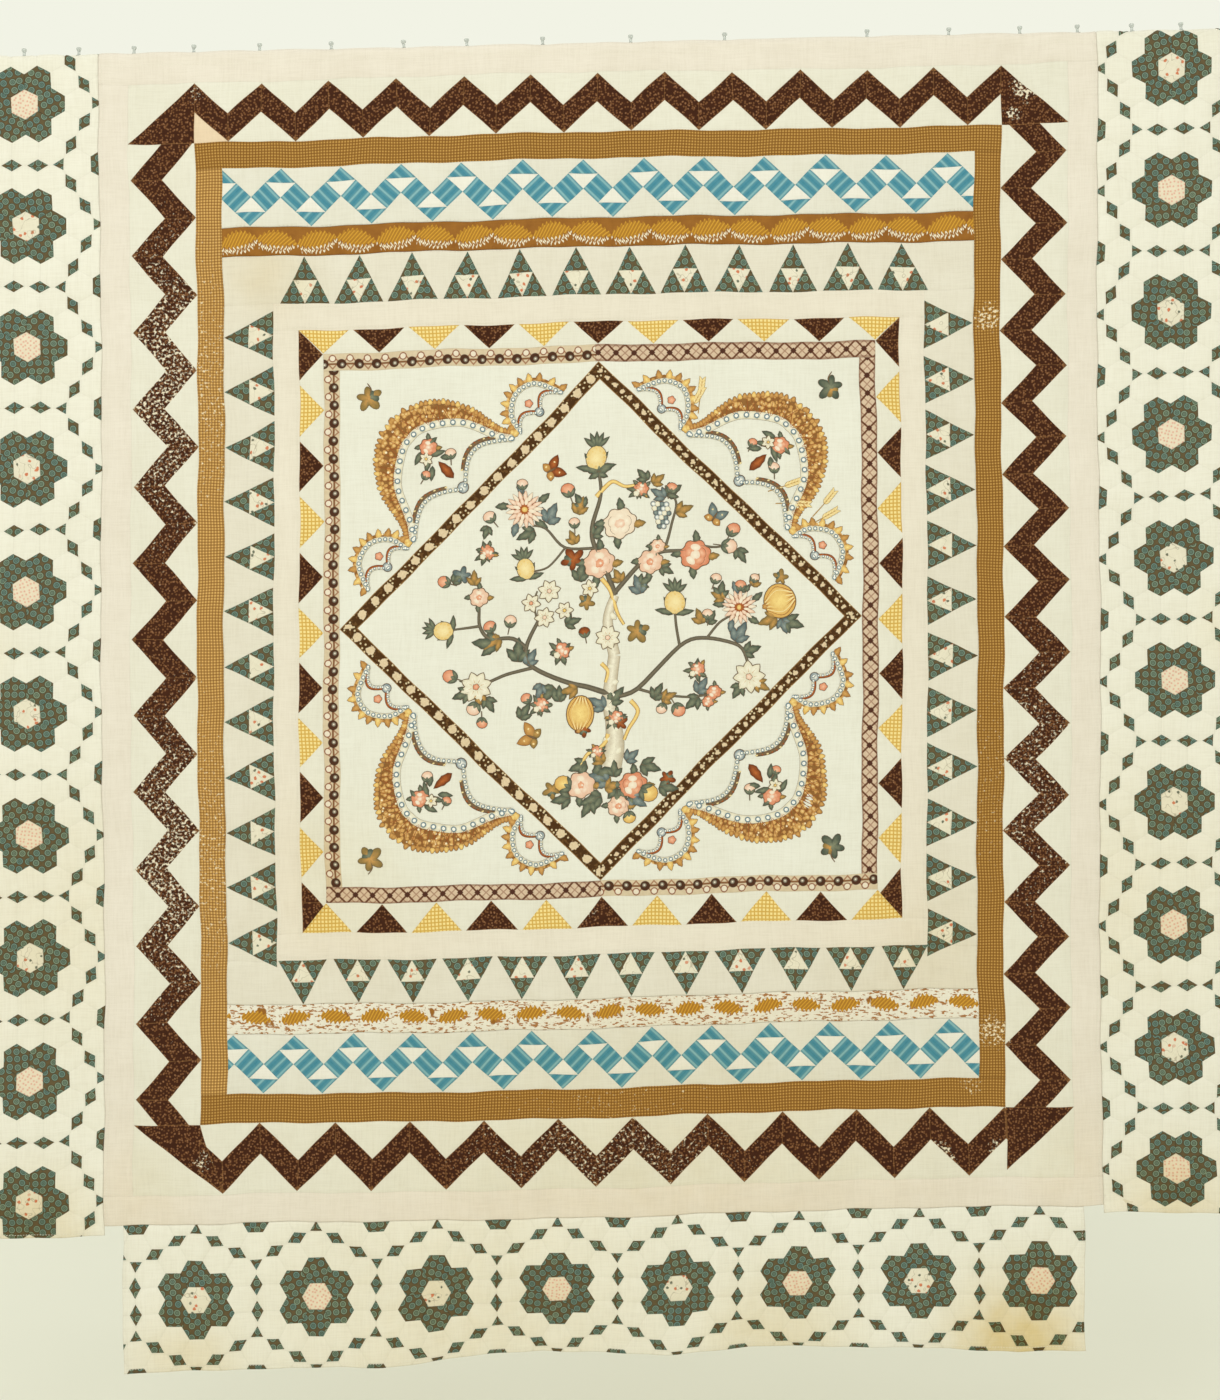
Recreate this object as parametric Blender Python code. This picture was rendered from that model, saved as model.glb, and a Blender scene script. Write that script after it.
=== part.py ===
"""A pieced medallion quilt pinned to a free-standing timber display rack.

Metres, +Z up. The quilt faces -Y, and the origin is on the floor under the rack's middle.
The timber rack stands still. The quilt swings about the top rail's front edge, and the
hexagon drop below it folds about the seam that joins it to the quilt's body.
"""

import math

import bmesh
import bpy
from mathutils import Matrix, Vector

# Rack: planed timber of one thickness, bolted together
TIMBER = 0.038
RAIL_LENGTH = 2.44
RACK_TOP = 2.25
LOWER_RAIL_DROP = 1.7155
UPRIGHT_X = 1.15
UPRIGHT_WIDTH = 0.064
FOOT_LENGTH = 0.70
FOOT_WIDTH = 0.089
BRACE_REACH = 0.26
EASED_EDGE = 0.002
GLIDE_RADIUS = 0.0125
GLIDE_HEIGHT = 0.005
GLIDE_INSET = 0.045

# Carriage bolts (M8) and their wing nuts
BOLT_RADIUS = 0.004
BOLT_HOLE_RADIUS = 0.0044
BOLT_LENGTH = 0.092
BOLT_HEAD_RADIUS = 0.0095
BOLT_HEAD_HEIGHT = 0.0045
NUT_RADIUS = 0.0085
NUT_HEIGHT = 0.009
WING_THICKNESS = 0.0028

# Push pins, pressed by hand through the quilt's heading into the top rail
PIN_PLACES = (
    -0.845, -0.763, -0.680, -0.590, -0.491, -0.383, -0.274, -0.179, -0.065,
    0.067, 0.208, 0.422, 0.545, 0.652, 0.739, 0.821, 0.895,
)
PIN_SETBACK = 0.006
PIN_NEEDLE_RADIUS = 0.0006
PIN_NEEDLE_LENGTH = 0.011
PIN_HOLE_RADIUS = 0.001
PIN_HOLE_DEPTH = 0.013

# Quilt: half widths across, and depths down from the top rail's top face
HEADING_DEPTH = 0.036
HEADING_THICKNESS = 0.0025
TOP_THICKNESS = 0.0016
LINING_THICKNESS = 0.0012
QUILT_HALF_WIDTH = 0.960
BODY_HALF_WIDTH = 0.7475
BODY_TOP = 0.0015
BODY_BOTTOM = 1.755
WING_BOTTOM = 1.7685
DROP_HALF_WIDTH = 0.7185
DROP_BOTTOM = 1.971
ZIGZAG_OUTLINE = (0.7035, 0.042, 1.7115)
CHECK_OUTLINE = (0.603, 0.132, 1.606)
STRIPS_OUTLINE = (0.5635, 0.17175, 1.56225)
PYRAMID_OUTLINE = (0.5635, 0.3045, 1.428)
PLAIN_OUTLINE = (0.489, 0.3765, 1.362)
SAWTOOTH_OUTLINE = (0.451, 0.417, 1.3215)
BERRY_OUTLINE = (0.415, 0.452, 1.277)
CENTRE_OUTLINE = (0.391, 0.478, 1.253)
STRIP_JOIN_TOP = 0.261
STRIP_JOIN_BOTTOM = 1.4725

GAP = 0.0003

UPRIGHT_FRONT = -TIMBER / 2
RAIL_Y = UPRIGHT_FRONT - GAP - TIMBER / 2
RAIL_FRONT = RAIL_Y - TIMBER / 2
FOOT_TOP = GLIDE_HEIGHT + GAP + TIMBER
LINING_Y = RAIL_FRONT - 2 * GAP - LINING_THICKNESS / 2
TOP_Y = LINING_Y - LINING_THICKNESS / 2 - GAP - TOP_THICKNESS / 2
TOP_FACE_Y = TOP_Y - TOP_THICKNESS / 2


def clear_scene():
    for old in list(bpy.data.objects):
        bpy.data.objects.remove(old, do_unlink=True)


def linear(value):
    """One sRGB channel, 0 to 255, as Blender's linear light."""
    level = value / 255
    return level / 12.92 if level <= 0.04045 else ((level + 0.055) / 1.055) ** 2.4


def finish(name, colour, roughness, metallic=0.0, transmission=0.0):
    material = bpy.data.materials.new(name)
    material.use_nodes = True
    shader = material.node_tree.nodes["Principled BSDF"]
    shader.inputs["Base Color"].default_value = (*[linear(c) for c in colour], 1.0)
    shader.inputs["Roughness"].default_value = roughness
    shader.inputs["Metallic"].default_value = metallic
    shader.inputs["Transmission Weight"].default_value = transmission
    return material


def add_object(name, bm, material, centre, parent=None):
    """A mesh object whose origin is at centre, which is given in world space."""
    bmesh.ops.recalc_face_normals(bm, faces=bm.faces)
    mesh = bpy.data.meshes.new(name)
    bm.to_mesh(mesh)
    bm.free()
    obj = bpy.data.objects.new(name, mesh)
    bpy.context.scene.collection.objects.link(obj)
    if material:
        mesh.materials.append(material)
    place(obj, centre, parent)
    return obj


def place(obj, centre, parent):
    obj.parent = parent
    obj.location = Vector(centre)
    above = parent
    while above:
        obj.location -= above.location
        above = above.parent


def block(name, size, centre, material, parent=None):
    bm = bmesh.new()
    bmesh.ops.create_cube(bm, size=1.0)
    bmesh.ops.scale(bm, vec=size, verts=bm.verts)
    return add_object(name, bm, material, centre, parent)


def prism(points, thickness):
    """A flat outline in XZ, given counter-clockwise from the front, made thick along Y."""
    bm = bmesh.new()
    corners = [bm.verts.new((x, -thickness / 2, z)) for x, z in points]
    face = bm.faces.new(corners)
    made = bmesh.ops.extrude_face_region(bm, geom=[face])
    moved = [item for item in made["geom"] if isinstance(item, bmesh.types.BMVert)]
    bmesh.ops.translate(bm, vec=(0, thickness, 0), verts=moved)
    return bm


def turned(profile, segments):
    """A solid turned about Z from (radius, height) points that start and end on the axis."""
    bm = bmesh.new()
    points = [bm.verts.new((radius, 0, height)) for radius, height in profile]
    edges = [bm.edges.new(pair) for pair in zip(points, points[1:])]
    bmesh.ops.spin(
        bm, geom=points + edges, cent=(0, 0, 0), axis=(0, 0, 1),
        angle=2 * math.pi, steps=segments, use_merge=True,
    )
    bmesh.ops.remove_doubles(bm, verts=bm.verts, dist=1e-6)
    return bm


def smooth_round(obj):
    obj.data.shade_smooth()
    obj.data.set_sharp_from_angle(angle=math.radians(35))


def ease_edges(obj):
    bevel = obj.modifiers.new("eased edges", "BEVEL")
    bevel.width = EASED_EDGE
    bevel.segments = 2
    bevel.limit_method = "ANGLE"


def cut(obj, cutter):
    cutter.hide_render = True
    cutter.display_type = "WIRE"
    hole = obj.modifiers.new("cut " + cutter.name, "BOOLEAN")
    hole.operation = "DIFFERENCE"
    hole.solver = "EXACT"
    hole.object = cutter


def rods(name, radius, length, centres, axis, segments):
    """One cutter made of equal rods along axis, which is Y or Z."""
    bm = bmesh.new()
    turn = Matrix.Rotation(math.radians(90), 4, "X") if axis == "Y" else Matrix()
    for centre in centres:
        bmesh.ops.create_cone(
            bm, cap_ends=True, segments=segments, radius1=radius, radius2=radius,
            depth=length, matrix=Matrix.Translation(centre) @ turn,
        )
    return add_object(name, bm, None, (0, 0, 0))


def pin_positions():
    return [(x, RAIL_FRONT + PIN_SETBACK) for x in PIN_PLACES]


def bolt_positions():
    """Name, x and z of each place where a rail is bolted to an upright."""
    rails = (("top", RACK_TOP - TIMBER / 2), ("lower", RACK_TOP - LOWER_RAIL_DROP - TIMBER / 2))
    sides = (("left", -UPRIGHT_X), ("right", UPRIGHT_X))
    return [(f"{side}_{rail}", x, z) for side, x in sides for rail, z in rails]


def build_rails(pine, bolt_cutter, pin_cutter):
    size = (RAIL_LENGTH, TIMBER, TIMBER)
    top = block("top_rail", size, (0, RAIL_Y, RACK_TOP - TIMBER / 2), pine)
    lower_z = RACK_TOP - LOWER_RAIL_DROP - TIMBER / 2
    lower = block("lower_rail", size, (0, RAIL_Y, lower_z), pine)
    for rail in (top, lower):
        ease_edges(rail)
        cut(rail, bolt_cutter)
    cut(top, pin_cutter)


def build_stands(pine, bolt_cutter, nylon):
    """Each end: an upright on a flat foot, braced front and rear, on two glides."""
    upright_bottom = FOOT_TOP + GAP
    height = RACK_TOP - upright_bottom
    for side, x in (("left", -UPRIGHT_X), ("right", UPRIGHT_X)):
        upright = block(
            f"{side}_upright", (UPRIGHT_WIDTH, TIMBER, height),
            (x, 0, upright_bottom + height / 2), pine,
        )
        ease_edges(upright)
        cut(upright, bolt_cutter)
        foot = block(
            f"{side}_foot", (FOOT_WIDTH, FOOT_LENGTH, TIMBER),
            (x, 0, FOOT_TOP - TIMBER / 2), pine,
        )
        ease_edges(foot)
        for end, way in (("front", -1), ("rear", 1)):
            build_brace(f"{side}_{end}_brace", x, way, pine)
            glide_y = way * (FOOT_LENGTH / 2 - GLIDE_INSET)
            profile = (
                (0, 0), (GLIDE_RADIUS * 0.9, 0), (GLIDE_RADIUS, GLIDE_HEIGHT * 0.4),
                (GLIDE_RADIUS, GLIDE_HEIGHT), (0, GLIDE_HEIGHT),
            )
            glide = add_object(f"{side}_{end}_glide", turned(profile, 20), nylon, (x, glide_y, 0))
            smooth_round(glide)


def build_brace(name, x, way, pine):
    """A square diagonal at 45 degrees, mitred flat onto the foot and the upright."""
    face = TIMBER * math.sqrt(2)
    outline = ((0, BRACE_REACH - face), (BRACE_REACH - face, 0), (BRACE_REACH, 0), (0, BRACE_REACH))
    bm = prism(outline, TIMBER)
    bmesh.ops.rotate(bm, verts=bm.verts, matrix=Matrix.Rotation(way * math.radians(90), 3, "Z"))
    brace = add_object(name, bm, pine, (x, way * (TIMBER / 2 + GAP), FOOT_TOP + GAP))
    ease_edges(brace)


def build_bolts(steel):
    """Dome-headed bolts from the front, with a wing nut behind each upright."""
    head = RAIL_FRONT - GAP
    for name, x, z in bolt_positions():
        profile = (
            (0, -BOLT_LENGTH), (BOLT_RADIUS * 0.75, -BOLT_LENGTH),
            (BOLT_RADIUS, -BOLT_LENGTH + BOLT_RADIUS * 0.4), (BOLT_RADIUS, 0),
            (BOLT_HEAD_RADIUS, 0), (BOLT_HEAD_RADIUS * 0.93, BOLT_HEAD_HEIGHT * 0.45),
            (BOLT_HEAD_RADIUS * 0.6, BOLT_HEAD_HEIGHT * 0.88), (0, BOLT_HEAD_HEIGHT),
        )
        bm = turned(profile, 16)
        bmesh.ops.rotate(bm, verts=bm.verts, matrix=Matrix.Rotation(math.radians(90), 3, "X"))
        smooth_round(add_object(f"{name}_bolt", bm, steel, (x, head, z)))
        build_wing_nut(f"{name}_wing_nut", x, z, steel)


def build_wing_nut(name, x, z, steel):
    seat = TIMBER / 2 + GAP
    boss_profile = (
        (0, 0), (NUT_RADIUS, 0), (NUT_RADIUS * 0.8, NUT_HEIGHT), (0, NUT_HEIGHT),
    )
    boss = turned(boss_profile, 16)
    bmesh.ops.rotate(boss, verts=boss.verts, matrix=Matrix.Rotation(math.radians(-90), 3, "X"))
    nut = add_object(name, boss, steel, (x, seat, z))
    half = NUT_RADIUS * 2.3
    outline = (
        (-half, NUT_HEIGHT * 1.3), (-half * 0.8, NUT_HEIGHT * 0.6), (-NUT_RADIUS * 0.6, NUT_HEIGHT * 0.15),
        (NUT_RADIUS * 0.6, NUT_HEIGHT * 0.15), (half * 0.8, NUT_HEIGHT * 0.6), (half, NUT_HEIGHT * 1.3),
        (half * 0.8, NUT_HEIGHT * 1.75), (NUT_RADIUS * 0.7, NUT_HEIGHT * 0.85),
        (-NUT_RADIUS * 0.7, NUT_HEIGHT * 0.85), (-half * 0.8, NUT_HEIGHT * 1.75),
    )
    wings = prism(outline, WING_THICKNESS)
    bmesh.ops.rotate(wings, verts=wings.verts, matrix=Matrix.Rotation(math.radians(-90), 3, "X"))
    wing_cutter = add_object(name + "_wings", wings, None, (x, seat, z))
    wing_cutter.hide_render = True
    wing_cutter.display_type = "WIRE"
    joined = nut.modifiers.new("wings", "BOOLEAN")
    joined.operation = "UNION"
    joined.solver = "EXACT"
    joined.object = wing_cutter
    bore = rods(name + "_bore", BOLT_HOLE_RADIUS, 0.06, [(x, seat, z)], "Y", 16)
    cut(nut, bore)


def build_push_pins(acrylic):
    """Turned plastic pins whose needles stand in their own holes in the rail."""
    flange = RACK_TOP + GAP + HEADING_THICKNESS + GAP
    profile = (
        (0, -PIN_NEEDLE_LENGTH), (PIN_NEEDLE_RADIUS, -PIN_NEEDLE_LENGTH + 0.002),
        (PIN_NEEDLE_RADIUS, 0), (0.0050, 0), (0.0048, 0.0012), (0.0024, 0.0024),
        (0.0021, 0.0075), (0.0037, 0.0092), (0.0038, 0.0122), (0.0030, 0.0130), (0, 0.0132),
    )
    for number, (x, y) in enumerate(pin_positions(), start=1):
        pin = add_object(f"push_pin_{number:02d}", turned(profile, 10), acrylic, (x, y, flange))
        smooth_round(pin)


def panel(name, half_width, top, bottom, hole, material, hinge):
    """One sewn piece of the quilt's face: a flat rectangle, open in the middle where hole is given."""
    high = RACK_TOP - top - GAP / 2
    low = RACK_TOP - bottom + GAP / 2
    wide = half_width - GAP / 2
    centre = Vector((0, TOP_Y, (high + low) / 2))
    bm = bmesh.new()
    outer = frame_corners(bm, wide, high - centre.z, low - centre.z)
    if hole:
        inner_wide, inner_top, inner_bottom = hole
        inner = frame_corners(
            bm, inner_wide + GAP / 2, RACK_TOP - inner_top + GAP / 2 - centre.z,
            RACK_TOP - inner_bottom - GAP / 2 - centre.z,
        )
        for i in range(4):
            j = (i + 1) % 4
            bm.faces.new((outer[i], outer[j], inner[j], inner[i]))
    else:
        bm.faces.new(outer)
    thicken(bm, TOP_THICKNESS)
    return add_object(name, bm, material, centre, hinge)


def frame_corners(bm, wide, high, low):
    return [bm.verts.new((x, 0, z)) for x, z in ((-wide, low), (wide, low), (wide, high), (-wide, high))]


def thicken(bm, thickness):
    """The flat faces in bm, made a closed slab centred on y = 0."""
    made = bmesh.ops.extrude_face_region(bm, geom=bm.faces[:])
    moved = [item for item in made["geom"] if isinstance(item, bmesh.types.BMVert)]
    bmesh.ops.translate(bm, vec=(0, thickness, 0), verts=moved)
    bmesh.ops.translate(bm, vec=(0, -thickness / 2, 0), verts=bm.verts)


def slab(name, left, right, top, bottom, y, thickness, material, hinge):
    """A plain rectangle of cloth between two sides, a top and a bottom."""
    size = (right - left - GAP, thickness, bottom - top - GAP)
    centre = ((left + right) / 2, y, RACK_TOP - (top + bottom) / 2)
    return block(name, size, centre, material, hinge)


def build_face(cloths, hinge):
    """The quilt body's face, from the centre square out to the plain outer border."""
    panel("centre_square", *CENTRE_OUTLINE, None, cloths["cream"], hinge)
    panel("berry_strip", *BERRY_OUTLINE, CENTRE_OUTLINE, cloths["berry"], hinge)
    panel("sawtooth_border", *SAWTOOTH_OUTLINE, BERRY_OUTLINE, cloths["brown"], hinge)
    panel("plain_border", *PLAIN_OUTLINE, SAWTOOTH_OUTLINE, cloths["cream"], hinge)
    panel("pyramid_border", *PYRAMID_OUTLINE, PLAIN_OUTLINE, cloths["green"], hinge)
    wide, strips_top, strips_bottom = STRIPS_OUTLINE
    leaf_top, leaf_bottom = PYRAMID_OUTLINE[1:]
    panel("top_blue_strip", wide, strips_top, STRIP_JOIN_TOP, None, cloths["blue"], hinge)
    panel("top_leaf_strip", wide, STRIP_JOIN_TOP, leaf_top, None, cloths["leaf"], hinge)
    panel("bottom_leaf_strip", wide, leaf_bottom, STRIP_JOIN_BOTTOM, None, cloths["leaf"], hinge)
    panel("bottom_blue_strip", wide, STRIP_JOIN_BOTTOM, strips_bottom, None, cloths["blue"], hinge)
    panel("gold_check_border", *CHECK_OUTLINE, STRIPS_OUTLINE, cloths["check"], hinge)
    panel("zigzag_border", *ZIGZAG_OUTLINE, CHECK_OUTLINE, cloths["brown"], hinge)
    panel(
        "outer_border", BODY_HALF_WIDTH, BODY_TOP, BODY_BOTTOM, ZIGZAG_OUTLINE,
        cloths["cream"], hinge,
    )


def build_wings(cloths, hinge):
    """A hexagon-pieced wing at each side, and the lining behind the body and wings."""
    for side, left, right in (
        ("left", -QUILT_HALF_WIDTH, -BODY_HALF_WIDTH), ("right", BODY_HALF_WIDTH, QUILT_HALF_WIDTH),
    ):
        slab(
            f"{side}_wing", left, right, BODY_TOP, WING_BOTTOM,
            TOP_Y, TOP_THICKNESS, cloths["hexagon"], hinge,
        )
        slab(
            f"{side}_wing_lining", left, right, BODY_TOP, WING_BOTTOM,
            LINING_Y, LINING_THICKNESS, cloths["lining"], hinge,
        )
    slab(
        "body_lining", -BODY_HALF_WIDTH, BODY_HALF_WIDTH, BODY_TOP, BODY_BOTTOM,
        LINING_Y, LINING_THICKNESS, cloths["lining"], hinge,
    )


def build_drop(cloths, hinge):
    """The hexagon-pieced drop under the body, with its own lining."""
    for name, y, thickness, cloth in (
        ("hexagon_drop", TOP_Y, TOP_THICKNESS, "hexagon"),
        ("drop_lining", LINING_Y, LINING_THICKNESS, "lining"),
    ):
        slab(
            name, -DROP_HALF_WIDTH, DROP_HALF_WIDTH, BODY_BOTTOM, DROP_BOTTOM,
            y, thickness, cloths[cloth], hinge,
        )


def build_heading(cloths, pin_cutter):
    """The quilt's top edge, folded back over the top rail and pinned there."""
    front = RAIL_FRONT + GAP
    heading = block(
        "quilt_heading", (2 * QUILT_HALF_WIDTH, HEADING_DEPTH, HEADING_THICKNESS),
        (0, front + HEADING_DEPTH / 2, RACK_TOP + GAP + HEADING_THICKNESS / 2), cloths["cream"],
    )
    cut(heading, pin_cutter)


def hinge_at(name, centre, parent=None):
    empty = bpy.data.objects.new(name, None)
    bpy.context.scene.collection.objects.link(empty)
    place(empty, centre, parent)
    return empty


def main():
    clear_scene()
    pine = finish("pine", (205, 170, 120), 0.55)
    nylon = finish("nylon", (62, 58, 54), 0.5)
    steel = finish("zinc_steel", (176, 178, 180), 0.35, metallic=1.0)
    acrylic = finish("clear_acrylic", (236, 240, 238), 0.08, transmission=0.8)
    cloths = {
        "cream": finish("cream_cotton", (232, 226, 205), 0.9),
        "hexagon": finish("hexagon_patchwork", (228, 222, 200), 0.9),
        "lining": finish("lining_cotton", (226, 216, 190), 0.92),
        "brown": finish("brown_print", (74, 44, 34), 0.9),
        "check": finish("gold_check", (176, 128, 48), 0.88),
        "green": finish("green_print", (92, 98, 78), 0.9),
        "blue": finish("blue_stripe", (70, 146, 166), 0.88),
        "leaf": finish("leaf_print", (186, 126, 44), 0.9),
        "berry": finish("berry_print", (150, 124, 104), 0.9),
    }
    bolt_holes = rods(
        "bolt_holes", BOLT_HOLE_RADIUS, 0.2,
        [(x, RAIL_Y, z) for name, x, z in bolt_positions()], "Y", 16,
    )
    pin_holes = rods(
        "pin_holes", PIN_HOLE_RADIUS, 2 * PIN_HOLE_DEPTH,
        [(x, y, RACK_TOP) for x, y in pin_positions()], "Z", 8,
    )
    build_rails(pine, bolt_holes, pin_holes)
    build_stands(pine, bolt_holes, nylon)
    build_bolts(steel)
    build_push_pins(acrylic)
    build_heading(cloths, pin_holes)
    quilt_hinge = hinge_at("quilt_hinge", (0, RAIL_FRONT, RACK_TOP))
    drop_hinge = hinge_at("drop_hinge", (0, TOP_FACE_Y, RACK_TOP - BODY_BOTTOM), quilt_hinge)
    build_face(cloths, quilt_hinge)
    build_wings(cloths, quilt_hinge)
    build_drop(cloths, drop_hinge)


main()
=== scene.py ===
from math import atan2, ceil, cos, degrees, hypot, pi, radians, sin, sqrt

import bmesh
import bpy
import numpy as np
from mathutils import Matrix, Vector
from mathutils.geometry import delaunay_2d_cdt
from mathutils.kdtree import KDTree


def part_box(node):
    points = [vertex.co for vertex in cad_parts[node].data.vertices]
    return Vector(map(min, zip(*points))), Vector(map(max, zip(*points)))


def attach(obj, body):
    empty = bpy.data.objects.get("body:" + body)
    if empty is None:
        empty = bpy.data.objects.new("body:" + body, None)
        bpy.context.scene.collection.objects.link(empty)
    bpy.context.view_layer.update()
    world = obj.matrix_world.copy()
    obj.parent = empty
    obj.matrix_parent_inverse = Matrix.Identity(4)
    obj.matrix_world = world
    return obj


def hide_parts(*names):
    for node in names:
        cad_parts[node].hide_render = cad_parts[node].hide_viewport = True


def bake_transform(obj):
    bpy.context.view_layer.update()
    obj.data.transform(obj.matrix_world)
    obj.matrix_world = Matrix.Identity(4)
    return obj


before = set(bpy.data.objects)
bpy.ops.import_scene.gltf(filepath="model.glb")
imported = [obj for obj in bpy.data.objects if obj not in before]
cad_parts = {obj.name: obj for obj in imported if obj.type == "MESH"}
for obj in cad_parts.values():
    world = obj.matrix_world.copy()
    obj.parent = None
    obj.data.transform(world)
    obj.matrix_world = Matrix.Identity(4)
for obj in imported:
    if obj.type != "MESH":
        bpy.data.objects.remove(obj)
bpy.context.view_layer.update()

# ---- Room and viewer
# A plain pale floor under the rack, pale light from all round and one broad soft light from the
# upper left. The viewer stands level with the quilt's middle, head tipped a little.
scene = bpy.context.scene
scene.view_settings.view_transform = "Standard"


def srgb(red, green, blue):
    """A colour given from 0 to 255, as Blender's linear light."""
    light = [((c / 255 + 0.055) / 1.055) ** 2.4 if c > 10.3 else c / 3294.6 for c in (red, green, blue)]
    return (*light, 1.0)


def add(name, data):
    thing = bpy.data.objects.new(name, data)
    scene.collection.objects.link(thing)
    return thing


cloth_front = float(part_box("outer_border")[0][1])
viewer = bpy.data.cameras.new("viewer")
viewer.lens = 56.6
aside, stand_back, eye_level, head_tilt = 0.0135, 3.3, 1.2675, -1.3
camera = add("viewer", viewer)
camera.location = (aside, cloth_front - stand_back, eye_level)
look = Matrix.Rotation(radians(90), 3, "X") @ Matrix.Rotation(radians(head_tilt), 3, "Z")
camera.rotation_euler = look.to_euler()
scene.camera = camera

studio = bpy.data.worlds.new("studio")
studio.use_nodes = True
studio.node_tree.nodes["Background"].inputs["Color"].default_value = srgb(242, 243, 229)
studio.node_tree.nodes["Background"].inputs["Strength"].default_value = 1.0
scene.world = studio

softbox = bpy.data.lights.new("softbox", "AREA")
softbox.size = 2.6
softbox.energy = 66
softbox.color = (1.0, 0.99, 0.98)
lamp = add("softbox", softbox)
lamp.location = (-0.8, -4.2, 3.7)
lamp.rotation_euler = (Vector((0, 0, 1.3)) - lamp.location).to_track_quat("-Z", "Y").to_euler()


class Figure:
    """A number that changes over a surface. Arithmetic on it adds shader Math nodes."""

    def __init__(self, tree, socket):
        self.tree, self.socket = tree, socket

    def join(self, kind, *others, clamp=False):
        node = self.tree.nodes.new("ShaderNodeMath")
        node.operation, node.use_clamp = kind, clamp
        for place, value in enumerate((self, *others)):
            if isinstance(value, Figure):
                self.tree.links.new(value.socket, node.inputs[place])
            else:
                node.inputs[place].default_value = value
        return Figure(self.tree, node.outputs[0])

    def __add__(self, other):
        return self.join("ADD", other)

    def __sub__(self, other):
        return self.join("SUBTRACT", other)

    def __mul__(self, other):
        return self.join("MULTIPLY", other)

    def __abs__(self):
        return self.join("ABSOLUTE")

    __radd__, __rmul__ = __add__, __mul__

    def __rsub__(self, other):
        return self * -1.0 + other

    def low(self, other):
        return self.join("MINIMUM", other)

    def high(self, other):
        return self.join("MAXIMUM", other)

    def wave(self, pitch):
        return (self * (2 * pi / pitch)).join("SINE")

    def cycle(self, pitch):
        """How far from the nearest repeat, from -pitch/2 to pitch/2."""
        return self.join("WRAP", pitch / 2, -pitch / 2)

    def below(self, limit, soft=0.0002):
        """1 where smaller than limit, 0 where larger."""
        return ((limit - self) * (1.0 / soft) + 0.5).join("MINIMUM", 1.0).join("MAXIMUM", 0.0)


class Paint:
    """One procedural material, drawn on the object's own place or on a named cloth map."""

    def __init__(self, name, roughness, where="Object", **facts):
        self.material = bpy.data.materials.new(name)
        self.material.use_nodes = True
        self.tree, self.flat = self.material.node_tree, where != "Object"
        self.shader = self.tree.nodes["Principled BSDF"]
        self.shader.inputs["Roughness"].default_value = roughness
        for fact, value in facts.items():
            self.shader.inputs[fact.replace("_", " ")].default_value = value
        if where == "Object":
            self.at = self.tree.nodes.new("ShaderNodeTexCoord").outputs["Object"]
        else:
            chart = self.tree.nodes.new("ShaderNodeUVMap")
            chart.uv_map = where
            self.at = chart.outputs["UV"]
        split = self.tree.nodes.new("ShaderNodeSeparateXYZ")
        self.tree.links.new(self.at, split.inputs[0])
        self.x, self.y, self.z = (Figure(self.tree, split.outputs[k]) for k in range(3))

    def feed(self, socket, value):
        if isinstance(value, Figure):
            value = value.socket
        if isinstance(value, bpy.types.NodeSocket):
            self.tree.links.new(value, socket)
        else:
            socket.default_value = value

    def scaled(self, node, size, stretch, seed):
        mapping = self.tree.nodes.new("ShaderNodeMapping")
        mapping.inputs["Scale"].default_value = [s / size for s in stretch]
        mapping.inputs["Location"].default_value = (seed, seed * 0.7, seed * 0.3)
        self.tree.links.new(self.at, mapping.inputs["Vector"])
        self.tree.links.new(mapping.outputs[0], node.inputs["Vector"])
        node.inputs["Scale"].default_value = 1.0

    def noise(self, size, detail=2.0, seed=0.0, stretch=(1, 1, 1)):
        """Cloudy variation from 0 to 1, its clouds about size metres across."""
        node = self.tree.nodes.new("ShaderNodeTexNoise")
        node.inputs["Detail"].default_value = detail
        self.scaled(node, size, stretch, seed)
        return Figure(self.tree, node.outputs[0])

    def cells(self, size, spread=0.5, seed=0.0):
        """Distance from the nearest of a field of dots about size apart, and a number for each dot."""
        node = self.tree.nodes.new("ShaderNodeTexVoronoi")
        node.voronoi_dimensions = "2D" if self.flat else "3D"
        node.inputs["Randomness"].default_value = spread
        self.scaled(node, size, (1, 1, 1), seed)
        chance = self.tree.nodes.new("ShaderNodeSeparateColor")
        self.tree.links.new(node.outputs["Color"], chance.inputs[0])
        return Figure(self.tree, node.outputs["Distance"]), Figure(self.tree, chance.outputs[0])

    def attribute(self, name):
        node = self.tree.nodes.new("ShaderNodeAttribute")
        node.attribute_name = name
        return Figure(self.tree, node.outputs["Fac"])

    def mix(self, factor, one, other, kind="MIX"):
        node = self.tree.nodes.new("ShaderNodeMix")
        node.data_type, node.blend_type = "RGBA", kind
        self.feed(node.inputs[0], factor)
        self.feed(node.inputs[6], srgb(*one) if isinstance(one, tuple) else one)
        self.feed(node.inputs[7], srgb(*other) if isinstance(other, tuple) else other)
        return node.outputs[2]

    def finish(self, colour, height=None, depth=0.0002, roughness=None):
        self.feed(self.shader.inputs["Base Color"], srgb(*colour) if isinstance(colour, tuple) else colour)
        if height is not None:
            bump = self.tree.nodes.new("ShaderNodeBump")
            bump.inputs["Distance"].default_value = depth
            self.feed(bump.inputs["Height"], height)
            self.tree.links.new(bump.outputs[0], self.shader.inputs["Normal"])
        if roughness is not None:
            self.feed(self.shader.inputs["Roughness"], roughness)
        return self.material


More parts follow.
